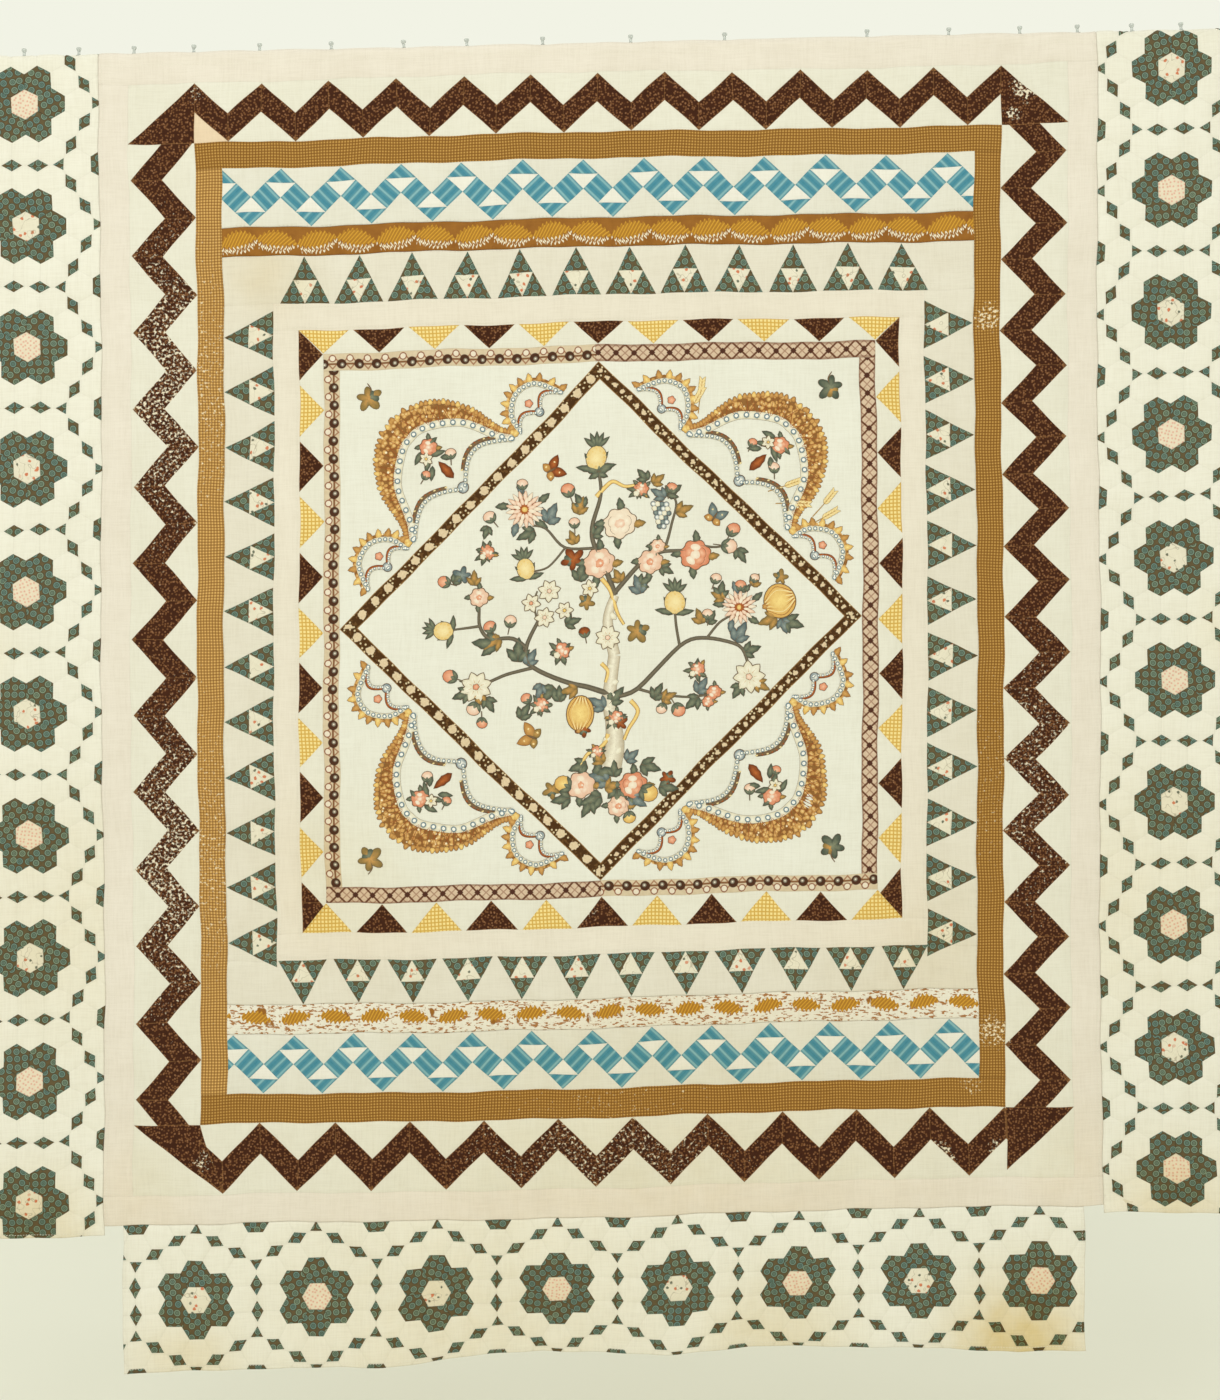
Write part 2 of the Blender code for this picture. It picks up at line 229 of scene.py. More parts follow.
def shaped(name, points, faces, lines=(), **numbers):
    """A mesh, with named numbers on its points."""
    mesh = bpy.data.meshes.new(name)
    mesh.from_pydata(points, lines, faces)
    for label, values in numbers.items():
        mesh.attributes.new(label, "FLOAT", "POINT").data.foreach_set("value", np.array(values, np.float32))
    return mesh


floor_paint = Paint("pale_floor", 0.8)
pale = floor_paint.mix(floor_paint.noise(0.6), (240, 240, 230), (236, 236, 225))
floor_corners = [(x, y, -0.001) for x, y in ((-9, -6), (9, -6), (9, 12), (-9, 12))]
floor_mesh = shaped("floor", floor_corners, [(0, 1, 2, 3)])
floor_mesh.materials.append(floor_paint.finish(pale, floor_paint.noise(0.02), 0.0002))
add("floor", floor_mesh)

# ---- Timber of the rack
# Planed pine, 38 mm square or ripped from the same board, oiled pale. The grain runs along each piece, so
# there is one finish for rails, one for uprights and braces, and one for feet.


def pine(name, along):
    """Pine whose grain runs along one axis, with growth rings, pores and a few knots."""
    paint = Paint(name, 0.5, Coat_Weight=0.12, Coat_Roughness=0.35)
    fine, broad = [16.0] * 3, [5.0] * 3
    fine["XYZ".index(along)], broad["XYZ".index(along)] = 0.35, 0.45
    rings = paint.noise(0.12, 3.0, 4.0, broad)
    bands = ((rings * 46.0).join("SINE") * 0.5 + 0.5).join("POWER", 2.2)
    pores = paint.noise(0.03, 4.0, 1.0, fine)
    wood = paint.mix(bands, (226, 193, 143), (196, 148, 93))
    wood = paint.mix(pores.below(0.44, 0.12) * 0.4, wood, (150, 105, 62))
    knots = paint.noise(0.16, 0.0, 9.0)
    wood = paint.mix(knots.below(0.26, 0.05) * 0.75, wood, (118, 74, 42))
    wood = paint.mix(paint.noise(0.4, 2.0, 2.0), wood, (210, 172, 122))
    return paint.finish(wood, pores * 0.7 + bands * 0.3, 0.00025, pores * 0.25 + 0.38)


rail_pine, upright_pine, foot_pine = pine("pine_rail", "X"), pine("pine_upright", "Z"), pine("pine_foot", "Y")
timber = {"top_rail": rail_pine, "lower_rail": rail_pine}
for side in ("left", "right"):
    timber[f"{side}_upright"] = upright_pine
    timber[f"{side}_foot"] = foot_pine
    timber[f"{side}_front_brace"] = timber[f"{side}_rear_brace"] = upright_pine


def clothe(node, material):
    """Gives a CAD piece its finish."""
    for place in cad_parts[node].material_slots:
        place.material = material


for node, wood in timber.items():
    clothe(node, wood)

# ---- Bolts, wing nuts, glides and brace screws
# M8 zinc-plated carriage bolts with wing nuts hold the rails to the uprights. Each foot stands on
# two nylon glides, and each brace is held by two countersunk screws at either end.
zinc_paint = Paint("zinc_plate", 0.34, Metallic=1.0)
cloudy = zinc_paint.noise(0.004, 3.0)
plate = zinc_paint.mix(cloudy, (178, 181, 180), (206, 206, 200))
zinc = zinc_paint.finish(plate, zinc_paint.noise(0.0012), 0.00004, cloudy * 0.25 + 0.22)
nylon_paint = Paint("moulded_nylon", 0.45, Subsurface_Weight=0.1)
milky = nylon_paint.mix(nylon_paint.noise(0.006), (205, 201, 190), (188, 184, 172))
nylon = nylon_paint.finish(milky, nylon_paint.noise(0.0008), 0.00005)
for side in ("left", "right"):
    for rail in ("top", "lower"):
        clothe(f"{side}_{rail}_bolt", zinc)
        clothe(f"{side}_{rail}_wing_nut", zinc)
    for end in ("front", "rear"):
        clothe(f"{side}_{end}_glide", nylon)


def lathe(name, profile, steps):
    """A turned shape from (radius, height) points that start and end on the axis."""
    bm = bmesh.new()
    ring = [bm.verts.new((radius, 0, height)) for radius, height in profile]
    edges = [bm.edges.new(pair) for pair in zip(ring, ring[1:])]
    bmesh.ops.spin(bm, geom=ring + edges, cent=(0, 0, 0), axis=(0, 0, 1), angle=2 * pi, steps=steps,
                   use_merge=True)
    bmesh.ops.remove_doubles(bm, verts=bm.verts, dist=1e-6)
    bmesh.ops.recalc_face_normals(bm, faces=bm.faces)
    mesh = bpy.data.meshes.new(name)
    bm.to_mesh(mesh)
    bm.free()
    mesh.shade_smooth()
    mesh.set_sharp_from_angle(angle=radians(38))
    return mesh


def tree_with(name, *sockets):
    """A Geometry Nodes tree with named inputs, with its maker of nodes and its ending."""
    tree = bpy.data.node_groups.new(name, "GeometryNodeTree")
    tree.interface.new_socket("Base", in_out="INPUT", socket_type="NodeSocketGeometry")
    for label, kind in sockets:
        tree.interface.new_socket(label, in_out="INPUT", socket_type="NodeSocket" + kind)
    tree.interface.new_socket("Made", in_out="OUTPUT", socket_type="NodeSocketGeometry")
    entry, leave = tree.nodes.new("NodeGroupInput"), tree.nodes.new("NodeGroupOutput")

    def node(kind, links=(), **settings):
        made = tree.nodes.new(kind)
        for setting, value in settings.items():
            setattr(made, setting, value)
        for socket, source in dict(links).items():
            if isinstance(source, str) and socket != "Name":
                source = entry.outputs[source]
            if isinstance(source, bpy.types.NodeSocket):
                tree.links.new(source, made.inputs[socket])
            else:
                made.inputs[socket].default_value = source
        return made

    def close(shapes):
        real = node("GeometryNodeRealizeInstances", {"Geometry": shapes})
        done = node("GeometryNodeSetMaterial", {"Geometry": real.outputs[0], "Material": "Finish"})
        tree.links.new(done.outputs[0], leave.inputs[0])

    return tree, node, close


scatter, node, close = tree_with(
    "set one at each mark", ("Item", "Object"), ("Turn", "Float"), ("Finish", "Material"))
facing = node("GeometryNodeInputNamedAttribute", {"Name": "facing"}, data_type="FLOAT_VECTOR")
aligned = node("FunctionNodeAlignRotationToVector", {"Vector": facing.outputs["Attribute"]}, axis="Z")
chance = node("FunctionNodeRandomValue", {"Max": "Turn", "Seed": 5}, data_type="FLOAT")
spin = node("ShaderNodeCombineXYZ", {"Z": chance.outputs[1]})
turned = node("FunctionNodeRotateRotation", {"Rotation": aligned.outputs[0], "Rotate By": spin.outputs[0]},
              rotation_space="LOCAL")
item = node("GeometryNodeObjectInfo", {"Object": "Item"})
close(node("GeometryNodeInstanceOnPoints", {
    "Points": "Base", "Instance": item.outputs["Geometry"], "Rotation": turned.outputs[0]}).outputs[0])


def grow(name, tree, marks, lines=(), facings=None, **settings):
    """Runs a Geometry Nodes tree on marks or lines, and keeps the result as a plain mesh."""
    mesh = shaped(name + "_marks", marks, [], lines)
    if facings is not None:
        mesh.attributes.new("facing", "FLOAT_VECTOR", "POINT").data.foreach_set(
            "vector", np.array(facings, float).ravel())
    base = add(name + "_marks", mesh)
    modifier = base.modifiers.new("make", "NODES")
    modifier.node_group = tree
    for label, value in settings.items():
        modifier[tree.interface.items_tree[label].identifier] = value
    bpy.context.view_layer.update()
    made = bpy.data.meshes.new_from_object(base.evaluated_get(bpy.context.evaluated_depsgraph_get()))
    base.modifiers.remove(modifier)
    for pattern in (base, settings["Item"]):
        bpy.data.objects.remove(pattern)
    made.name = name
    return made


screw_head = lathe("screw_head", [(0, -0.003), (0.0022, -0.003), (0.0042, -0.0004), (0.0042, 0.0004),
                                  (0.0034, 0.0009), (0.0016, 0.0011), (0.0012, 0.0003), (0, 0.0003)], 20)
screw_marks, screw_facings = [], []
for side in ("left", "right"):
    for end, sign in (("front", -1), ("rear", 1)):
        low, high = (np.array(corner, float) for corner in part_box(f"{side}_{end}_brace"))
        middle, slope = (low + high) / 2, np.array((0, sign, 1)) / sqrt(2)
        along = np.array((0, -sign, 1)) / sqrt(2)
        half = (high[2] - low[2]) / 2 * sqrt(2)
        for place in (-0.78, -0.62, 0.62, 0.78):
            screw_marks.append(tuple(middle + along * half * place))
            screw_facings.append(tuple(slope))
screws = add("brace_screws", grow("brace_screws", scatter, screw_marks, (), screw_facings,
                                  Item=add("screw_pattern", screw_head), Turn=6.28, Finish=zinc))
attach(screws, "rack")

# ---- Push pins
# Seventeen clear acrylic push pins, turned like small bobbins round a steel needle, pressed by hand
# through the folded top edge into the rail.
acrylic_paint = Paint("clear_acrylic", 0.08, Transmission_Weight=0.6, IOR=1.49)
tint = acrylic_paint.mix(acrylic_paint.noise(0.004), (226, 230, 226), (206, 212, 210))
acrylic = acrylic_paint.finish(tint, acrylic_paint.noise(0.0015), 0.00003)
pin_nodes = sorted(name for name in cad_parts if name.startswith("push_pin"))
pin_marks = []
for name in pin_nodes:
    low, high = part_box(name)
    pin_marks.append(((low[0] + high[0]) / 2, (low[1] + high[1]) / 2, high[2] - 0.0132))
pin_body = lathe("pin_body", [
    (0, 0), (0.0046, 0), (0.0050, 0.0004), (0.0049, 0.0011), (0.0040, 0.0017), (0.0027, 0.0023),
    (0.0022, 0.0035), (0.0021, 0.0060), (0.0024, 0.0080), (0.0033, 0.0091), (0.0038, 0.0101),
    (0.0038, 0.0120), (0.0034, 0.0129), (0.0020, 0.0132), (0, 0.0132)], 24)
pin_facings = [(0.06 * sin(7 * k), -0.05 + 0.05 * cos(5 * k), 1.0) for k in range(len(pin_marks))]
pins = add("push_pins", grow("push_pins", scatter, pin_marks, (), pin_facings,
                             Item=add("pin_pattern", pin_body), Turn=3.0, Finish=acrylic))
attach(pins, "rack")
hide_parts(*pin_nodes)

# ---- How the cloth hangs
# Every cloth is drawn flat, as it was sewn: across, up from the rail's top edge, and proud of the
# cloth. hang() gives the flat cloth its hand-sewn unevenness, its lean, its slack between the pins
# and its soft upright folds, and takes its top edge back over the rail.
rail_top = float(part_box("top_rail")[1][2])
fold = 0.004
fold_centre = np.array((cloth_front + fold, rail_top + 0.0025 - fold))
pin_across = np.array([mark[0] for mark in pin_marks])
lean, lean_centre = 0.0176, 0.983
drop_top = rail_top - float(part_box("hexagon_drop")[1][2])
drop_length = float(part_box("hexagon_drop")[1][2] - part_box("hexagon_drop")[0][2])
hem_dips = ((-0.72, 0.002), (-0.6, 0.002), (-0.45, 0.003), (-0.33, 0.001), (-0.20, -0.012),
            (-0.09, -0.019), (0.0, -0.016), (0.1, -0.010), (0.22, -0.014), (0.32, -0.016), (0.5, -0.006),
            (0.62, 0.003), (0.73, 0.0))


def hang(flat):
    """Takes points from the flat cloth to their places on the rack."""
    x, y, proud = np.asarray(flat, float).reshape(-1, 3).T
    down = -y
    sewn_x = 0.0017 * np.sin(7.3 * y + 2.1 * x + 0.4) + 0.0009 * np.sin(33 * y - 12 * x + 1.0) \
        + 0.0005 * np.sin(71 * y + 40 * x)
    sewn_y = 0.0020 * np.sin(6.1 * x + 1.9 * y + 2.2) + 0.0010 * np.sin(29 * x + 9 * y) \
        + 0.0005 * np.sin(83 * x - 30 * y)
    hem = np.clip((down - drop_top) / drop_length, 0, 1)
    dips = np.interp(x, [place for place, _ in hem_dips], [dip for _, dip in hem_dips])
    slide = down - sewn_y + hem ** 1.5 * dips
    from_pin = np.min(np.abs(x[:, None] + lean * lean_centre - pin_across[None, :]), axis=1)
    slack = (1 - np.exp(-(from_pin / 0.022) ** 2)) * np.exp(-np.clip(down, 0, None) / 0.16)
    settle = np.clip(down / 0.5, 0, 1)
    forward = 0.0016 * slack
    forward += 0.0016 * settle * (1 + np.sin(2 * pi * x / 0.31 + 0.6 + 0.5 * np.sin(3 * y)))
    forward += 0.0009 * settle * (1 + np.sin(2 * pi * x / 0.127 + 1.0 + 1.3 * y))
    forward += 0.0006 * settle * (1 + np.sin(2 * pi * y / 0.21 + 5.0 * x))
    flare = np.clip((down - 1.62) / 0.35, 0, 1) ** 2
    forward += 0.0050 * flare * (1 + np.sin(2 * pi * x / 0.37 + 0.8))
    curl = np.exp(-((x - 0.775) / 0.03) ** 2) * np.clip((down - 1.748) / 0.02, 0, 1)
    curl *= down < drop_top + 0.02
    forward += 0.010 * curl
    turn = np.clip((drop_over - slide) / fold, 0, pi / 2)
    reach = np.clip(drop_over - slide - fold * pi / 2, 0, None)
    over = slide < drop_over
    lift = fold + proud + forward * np.where(over, np.clip(1 - reach / 0.03, 0.2, 1), 1)
    placed_y = np.where(over, fold_centre[0] - lift * np.cos(turn) + reach, cloth_front - proud - forward)
    placed_z = np.where(over, fold_centre[1] + lift * np.sin(turn), rail_top - slide + 0.006 * curl)
    placed_x = x + sewn_x - lean * (down - lean_centre)
    return np.column_stack([placed_x, placed_y, placed_z])


drop_over = rail_top - fold_centre[1]


def owner(points, patches):
    """For each flat point, the first patch that holds it, or -1."""
    found = np.full(len(points), -1)
    for index, (outline, _, _) in enumerate(patches):
        ring = np.array(outline, float)
        near = (found < 0) & (points > ring.min(0)).all(1) & (points < ring.max(0)).all(1)
        near = np.nonzero(near)[0]
        x, y = points[near].T
        inside = np.zeros(len(near), bool)
        for (x0, y0), (x1, y1) in zip(ring, np.roll(ring, -1, 0)):
            if y0 != y1:
                inside ^= ((y0 > y) != (y1 > y)) & (x < (x1 - x0) * (y - y0) / (y1 - y0) + x0)
        found[near[inside]] = index
    return found


def spots_at(flat, spots):
    """How strongly worn or aged places, given as (x, y, radius, strength), reach each flat point."""
    total = np.zeros(len(flat))
    for x, y, radius, strength in spots:
        away = (flat[:, 0] - x) ** 2 + (flat[:, 1] - y) ** 2
        total = np.maximum(total, strength * np.exp(-away / radius ** 2))
    return total


def even_steps(start, end, count):
    return [tuple(a + (b - a) * k / count for a, b in zip(start, end)) for k in range(count + 1)]


fabrics = {}
seam_depth = 0.0011
cloth_thick = 0.0023


def sew(name, patches, worn=(), aged=(), spacing=0.0064):
    """Sews patches (outline, fabric, (turn, x, y) of its print) into one cloth, sunk along its seams."""
    corners, lines, ruler, beside = {}, set(), [], []

    def corner(x, y):
        return corners.setdefault((round(x, 5), round(y, 5)), len(corners))

    for outline, _, _ in patches:
        for start, end in zip(outline, [*outline[1:], outline[0]]):
            along = np.array(end, float) - start
            length = hypot(*along)
            if length < 1e-5:
                continue
            parts, fine = max(1, round(length / 0.0058)), max(1, round(length / 0.0014))
            stops = [corner(*stop) for stop in even_steps(start, end, parts)]
            lines.update(tuple(sorted(pair)) for pair in zip(stops, stops[1:]) if pair[0] != pair[1])
            ruler += even_steps(start, end, fine)
            aside = np.array((along[1], -along[0])) / length * 0.0018
            for k in range(parts):
                centre = np.array(start) + along * ((k + 0.5) / parts)
                beside += [tuple(centre + aside), tuple(centre - aside)]
    marks = sorted({(round(x, 4), round(y, 4)) for x, y in ruler})
    seams = KDTree(len(marks))
    for index, (x, y) in enumerate(marks):
        seams.insert((x, y, 0), index)
    seams.balance()

    def from_seam(points):
        return np.array([seams.find((x, y, 0))[2] for x, y in points])

    beside = np.array(sorted({(round(x, 4), round(y, 4)) for x, y in beside}))
    low, high = beside.min(0), beside.max(0)
    across = np.arange(low[0], high[0], spacing)
    up = np.arange(low[1], high[1], spacing * 0.866)
    field = np.array([(x + (row % 2) * spacing / 2, y) for row, y in enumerate(up) for x in across])
    points = list(corners)
    for candidates, near in ((beside, 0.0014), (field, 0.0042)):
        candidates = candidates[owner(candidates, patches) >= 0]
        points += [tuple(p) for p in candidates[from_seam(candidates) > near]]
    flat, _, faces, *_ = delaunay_2d_cdt([Vector(p) for p in points], sorted(lines), [], 0, 1e-5, False)
    flat = np.array([tuple(p) for p in flat])
    faces = np.array(faces)
    patch = owner(flat[faces].mean(1), patches)
    faces, patch = faces[patch >= 0], patch[patch >= 0]
    used, faces = np.unique(faces, return_inverse=True)
    flat, faces = flat[used], faces.reshape(-1, 3)
    gap = from_seam(flat)
    height = seam_depth * (1 - np.exp(-gap / 0.0022))
    sides = np.concatenate([faces[:, [0, 1]], faces[:, [1, 2]], faces[:, [2, 0]]])
    holder = np.tile(patch, 3)
    _, first, counts = np.unique(np.sort(sides, axis=1), axis=0, return_index=True, return_counts=True)
    rim = first[counts == 1]
    rim_points, rim_place = np.unique(sides[rim], return_inverse=True)
    rim_place = rim_place.reshape(-1, 2) + len(flat)
    rim_faces = np.column_stack([sides[rim][:, [1, 0]], rim_place])
    flat = np.vstack([flat, flat[rim_points]])
    height = np.concatenate([height, np.full(len(rim_points), -cloth_thick)])
    gap = np.concatenate([gap, np.zeros(len(rim_points))])
    mesh = shaped(name, hang(np.column_stack([flat, height])).tolist(), faces.tolist() + rim_faces.tolist(),
                  seam=gap, worn=spots_at(flat, worn), aged=spots_at(flat, aged))
    order = np.concatenate([patch, holder[rim]])
    wanted = sorted({fabric for _, fabric, _ in patches})
    for fabric in wanted:
        mesh.materials.append(fabrics[fabric])
    number = np.array([wanted.index(fabric) for _, fabric, _ in patches])
    mesh.polygons.foreach_set("material_index", number[order].astype(np.int32))
    turns = np.array([turn for _, _, turn in patches], float)
    loops = np.concatenate([faces.ravel(), rim_faces.ravel()])
    owners = np.concatenate([np.repeat(patch, 3), np.repeat(holder[rim], 4)])
    angle, ox, oy = turns[owners].T
    px, py = flat[loops, 0] - ox, flat[loops, 1] - oy
    c, s = np.cos(angle), np.sin(angle)
    chart = np.column_stack([px * c + py * s, py * c - px * s])
    mesh.uv_layers.new(name="cloth").data.foreach_set("uv", chart.astype(np.float32).ravel())
    mesh.shade_smooth()
    return add(name, mesh)


def fabric(name, draw, thread=0.0010, rough=0.9, seam_line_and_painted_shade=(0.80, 0.0008)):
    """A woven cotton. draw gives the print; weave, slubs, age and a dark seam line with painted shade along
    the seams are added.
    """
    paint = Paint(name, rough, "cloth", Sheen_Weight=0.03, Sheen_Roughness=0.6, Specular_IOR_Level=0.15)
    colour = draw(paint)
    cloud = paint.noise(0.11, 3.0, 3.0)
    colour = paint.mix(cloud * 0.5, colour, (238, 235, 230), "MULTIPLY")
    slub = paint.noise(0.004, 2.0, 6.0, (0.12, 2.0, 1))
    slub_up = paint.noise(0.004, 2.0, 8.0, (2.0, 0.12, 1))
    colour = paint.mix((slub + slub_up - 0.86) * 0.4, colour, (214, 208, 196), "MULTIPLY")
    shade, width = seam_line_and_painted_shade
    # Painted shade: cloth close to a seam is darkened towards brown. This is a thin seam line that also
    # stands in for the shade in the sunk seam groove.
    seam_line_and_shade_mask = paint.attribute("seam").below(width, 0.0009)
    colour = paint.mix(seam_line_and_shade_mask * (1 - shade), colour, (120, 100, 74), "MULTIPLY")
    colour = paint.mix(paint.attribute("aged").low(1.0) * (paint.noise(0.03, 3.0) * 0.8 + 0.5),
                       colour, (236, 214, 160), "MULTIPLY")
    weave = paint.x.wave(thread) * paint.y.wave(thread)
    fabrics[name] = paint.finish(colour, weave * 0.5 + slub * 1.2 + slub_up * 1.2, 0.00013)


def outline_of(node):
    """Half width, top and bottom of a sewn border, on the flat cloth."""
    low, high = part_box(node)
    return float(high[0] - low[0]) / 2, float(high[2]) - rail_top, float(low[2]) - rail_top


def box_of(left, right, top, bottom):
    return [(left, bottom), (right, bottom), (right, top), (left, top)]


def clip(outline, left, right, top, bottom):
    """The part of a convex outline inside a rectangle."""
    for axis, limit, sign in ((0, left, 1), (0, right, -1), (1, bottom, 1), (1, top, -1)):
        kept = []
        for start, end in zip(outline, [*outline[1:], outline[0]]):
            a, b = (start[axis] - limit) * sign, (end[axis] - limit) * sign
            if a >= 0:
                kept.append(start)
            if (a > 0 > b) or (a < 0 < b):
                kept.append(tuple(s + (e - s) * a / (a - b) for s, e in zip(start, end)))
        outline = kept
        if len(outline) < 3:
            return []
    return outline

# ---- Outer and zigzag borders
# Plain pinkish cream cotton outside, then a zigzag of dark brown print pieced from slanting strips
# between cream triangles, with a solid brown triangle at each corner. Its turnings show tan at the
# seams, and the print has rubbed white in places.


def cream(name, light, dark, grain=0.7, seam_line_and_painted_shade=(0.92, 0.0007)):
    """Plain cream cotton, washed uneven."""
    def draw(paint):
        soft = paint.mix(paint.noise(0.035, 3.0, 1.0), light, dark)
        return paint.mix(paint.noise(0.0035, 1.0, 5.0).below(0.36, 0.1) * 0.22 * grain, soft, dark)
    fabric(name, draw, seam_line_and_painted_shade=seam_line_and_painted_shade)


def rubbed(paint, colour, bare=(236, 226, 204), size=0.0045, start=0.37):
    """Shows bare white threads where the print has worn off."""
    rub = paint.attribute("worn") * (paint.noise(size, 3.0, 7.0) + 0.12)
    return paint.mix(1 - rub.below(start, 0.06), colour, bare)


def brown_print(paint):
    distance, chance = paint.cells(0.0043, 1.0)
    flecks = distance.below(0.32, 0.16) * (1 - chance.below(0.30, 0.02))
    ground = paint.mix(paint.noise(0.012, 3.0), (74, 38, 18), (54, 26, 11))
    print_ = paint.mix(flecks * 0.85, ground, (124, 82, 50))
    reds, chance = paint.cells(0.0090, 1.0, 3.0)
    print_ = paint.mix(reds.below(0.14, 0.08) * 0.8, print_, (150, 106, 74))
    tan = paint.attribute("seam").below(0.0008, 0.0004)
    return rubbed(paint, paint.mix(tan * 0.35, print_, (168, 122, 76)))


cream("outer_cream", (238, 231, 221), (229, 221, 209))
cream("zigzag_cream", (235, 233, 222), (228, 225, 211))
cream("tanned_cream", (236, 216, 190), (230, 206, 174))
fabric("brown_print", brown_print, seam_line_and_painted_shade=(1.0, 0.0008))

body_half, _, body_bottom = outline_of("outer_border")
zigzag_half, zigzag_top, zigzag_bottom = zigzag_size = outline_of("zigzag_border")
check_half, check_top, check_bottom = check_size = outline_of("gold_check_border")
strips_half, strips_top, _ = outline_of("top_blue_strip")
strips_size = strips_half, strips_top, outline_of("bottom_blue_strip")[2]
heading_back = float(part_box("quilt_heading")[1][1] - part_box("quilt_heading")[0][1])
straight = (0, 0, 0)


def ring(fabric_name, outer, inner, upright=None):
    """Four strips round a border: the top and bottom run right across, the sides fit between."""
    (half, top, bottom), (hole, hole_top, hole_bottom) = outer, inner
    side = upright or fabric_name
    return [(box_of(-half, half, top, hole_top), fabric_name, straight),
            (box_of(-half, half, hole_bottom, bottom), fabric_name, straight),
            (box_of(-half, -hole, hole_top, hole_bottom), side, straight),
            (box_of(hole, half, hole_top, hole_bottom), fabric_name, straight)]


def round_the_check(side, along, out):
    """A place on the zigzag border, measured along one side of the gold border and out from it."""
    return {"top": (-check_half + along, check_top + out),
            "bottom": (-check_half + along, check_bottom - out),
            "left": (-check_half - out, check_top - along),
            "right": (check_half + out, check_top - along)}[side]


border_patches = []
check_wide, check_tall = 2 * check_half, check_top - check_bottom
corner_out = zigzag_half - check_half
for side, length, first, pitch, rise, stroke in (
        ("top", check_wide, 0.0, check_wide / 12, 0.0455, 0.0425),
        ("left", check_tall, 0.054, 0.1151, 0.0500, 0.0475),
        ("right", check_tall, 0.042, 0.1070, 0.0520, 0.0465),
        ("bottom", check_wide, 0.033, 0.1115, 0.0560, 0.0475)):
    knots = [(first + pitch * k / 2, 0.0 if k % 2 else rise) for k in range(-2, 2 * ceil(length / pitch) + 3)]
    for (a, a_out), (b, b_out) in zip(knots, knots[1:]):
        if b <= 1e-6 or a >= length - 1e-6:
            continue
        start, end = max(a, 0.0), min(b, length)
        start_out = a_out + (b_out - a_out) * (start - a) / (b - a)
        end_out = a_out + (b_out - a_out) * (end - a) / (b - a)
        strip = [round_the_check(side, *place) for place in (
            (start, start_out), (end, end_out), (end, end_out + stroke), (start, start_out + stroke))]
        border_patches.append((strip, "brown_print", straight))
for sign in (-1, 1):
    top_corner = [(sign * check_half, check_top), (sign * (check_half + corner_out), check_top),
                  (sign * check_half, zigzag_top - 0.001)]
    foot = -check_half + 0.033 if sign < 0 else check_half
    bottom_corner = [(sign * check_half, check_bottom), (sign * (check_half + corner_out), check_bottom),
                     (foot, zigzag_bottom + (0.002 if sign < 0 else 0.010))]
    if sign < 0:
        border_patches.append(([(-check_half, check_top), (-check_half + check_wide / 24, check_top),
                                (-check_half, check_top + 0.0455)], "tanned_cream", straight))
    border_patches += [(top_corner, "brown_print", straight), (bottom_corner, "brown_print", straight)]
zigzag_ground = ring("zigzag_cream", zigzag_size, check_size)

# ---- Gold check border
# A fine brown and gold woven check, cut in strips 40 mm wide, faded paler down the left side.


def gold_check(pale_by):
    def draw(paint):
        pitch = 0.0044
        across, up = abs(paint.x.cycle(pitch)), abs(paint.y.cycle(pitch))
        lines = (1 - across.below(0.0013, 0.0005)).high(1 - up.below(0.0013, 0.0005))
        crossing = (1 - across.below(0.0013, 0.0005)) * (1 - up.below(0.0013, 0.0005))
        heart = across.below(0.0009, 0.0006) * up.below(0.0009, 0.0006)
        gold = tuple(c + pale_by for c in (182, 135, 62))
        check = paint.mix(heart, gold, tuple(c + pale_by for c in (206, 162, 90)))
        check = paint.mix(lines * 0.85, check, tuple(c + pale_by for c in (134, 92, 38)))
        check = paint.mix(crossing * 0.6, check, (108, 70, 28))
        bands = paint.noise(0.05, 2.0, 3.0)
        return rubbed(paint, paint.mix(bands * 0.25, check, (150, 108, 52)), (238, 222, 190), 0.0045, 0.40)
    return draw


fabric("gold_check", gold_check(0), seam_line_and_painted_shade=(0.7, 0.0008))
fabric("gold_check_faded", gold_check(26), seam_line_and_painted_shade=(0.7, 0.0008))
border_patches += ring("gold_check", check_size, strips_size, "gold_check_faded")

# ---- Blue strips, above and below
# Striped blue squares set on point in a row, with small blue and white triangles over and under
# them, between large cream triangles. Each blue patch was cut with its stripes on the slant.


def blue_stripe(paint):
    bar = abs(paint.x.cycle(0.0125))
    thin = abs((paint.x + 0.002).cycle(0.0041))
    blue = paint.mix(bar.below(0.0026, 0.0015), (64, 136, 162), (142, 188, 196))
    blue = paint.mix(thin.below(0.0007, 0.0006) * 0.6, blue, (50, 118, 142))
    return paint.mix(paint.noise(0.006, 3.0) * 0.5, blue, (104, 162, 176))


fabric("blue_stripe", blue_stripe, seam_line_and_painted_shade=(0.8, 0.0007))
cream("strip_cream", (232, 230, 221), (225, 222, 209))
cream("bright_cream", (240, 238, 230), (233, 230, 221))


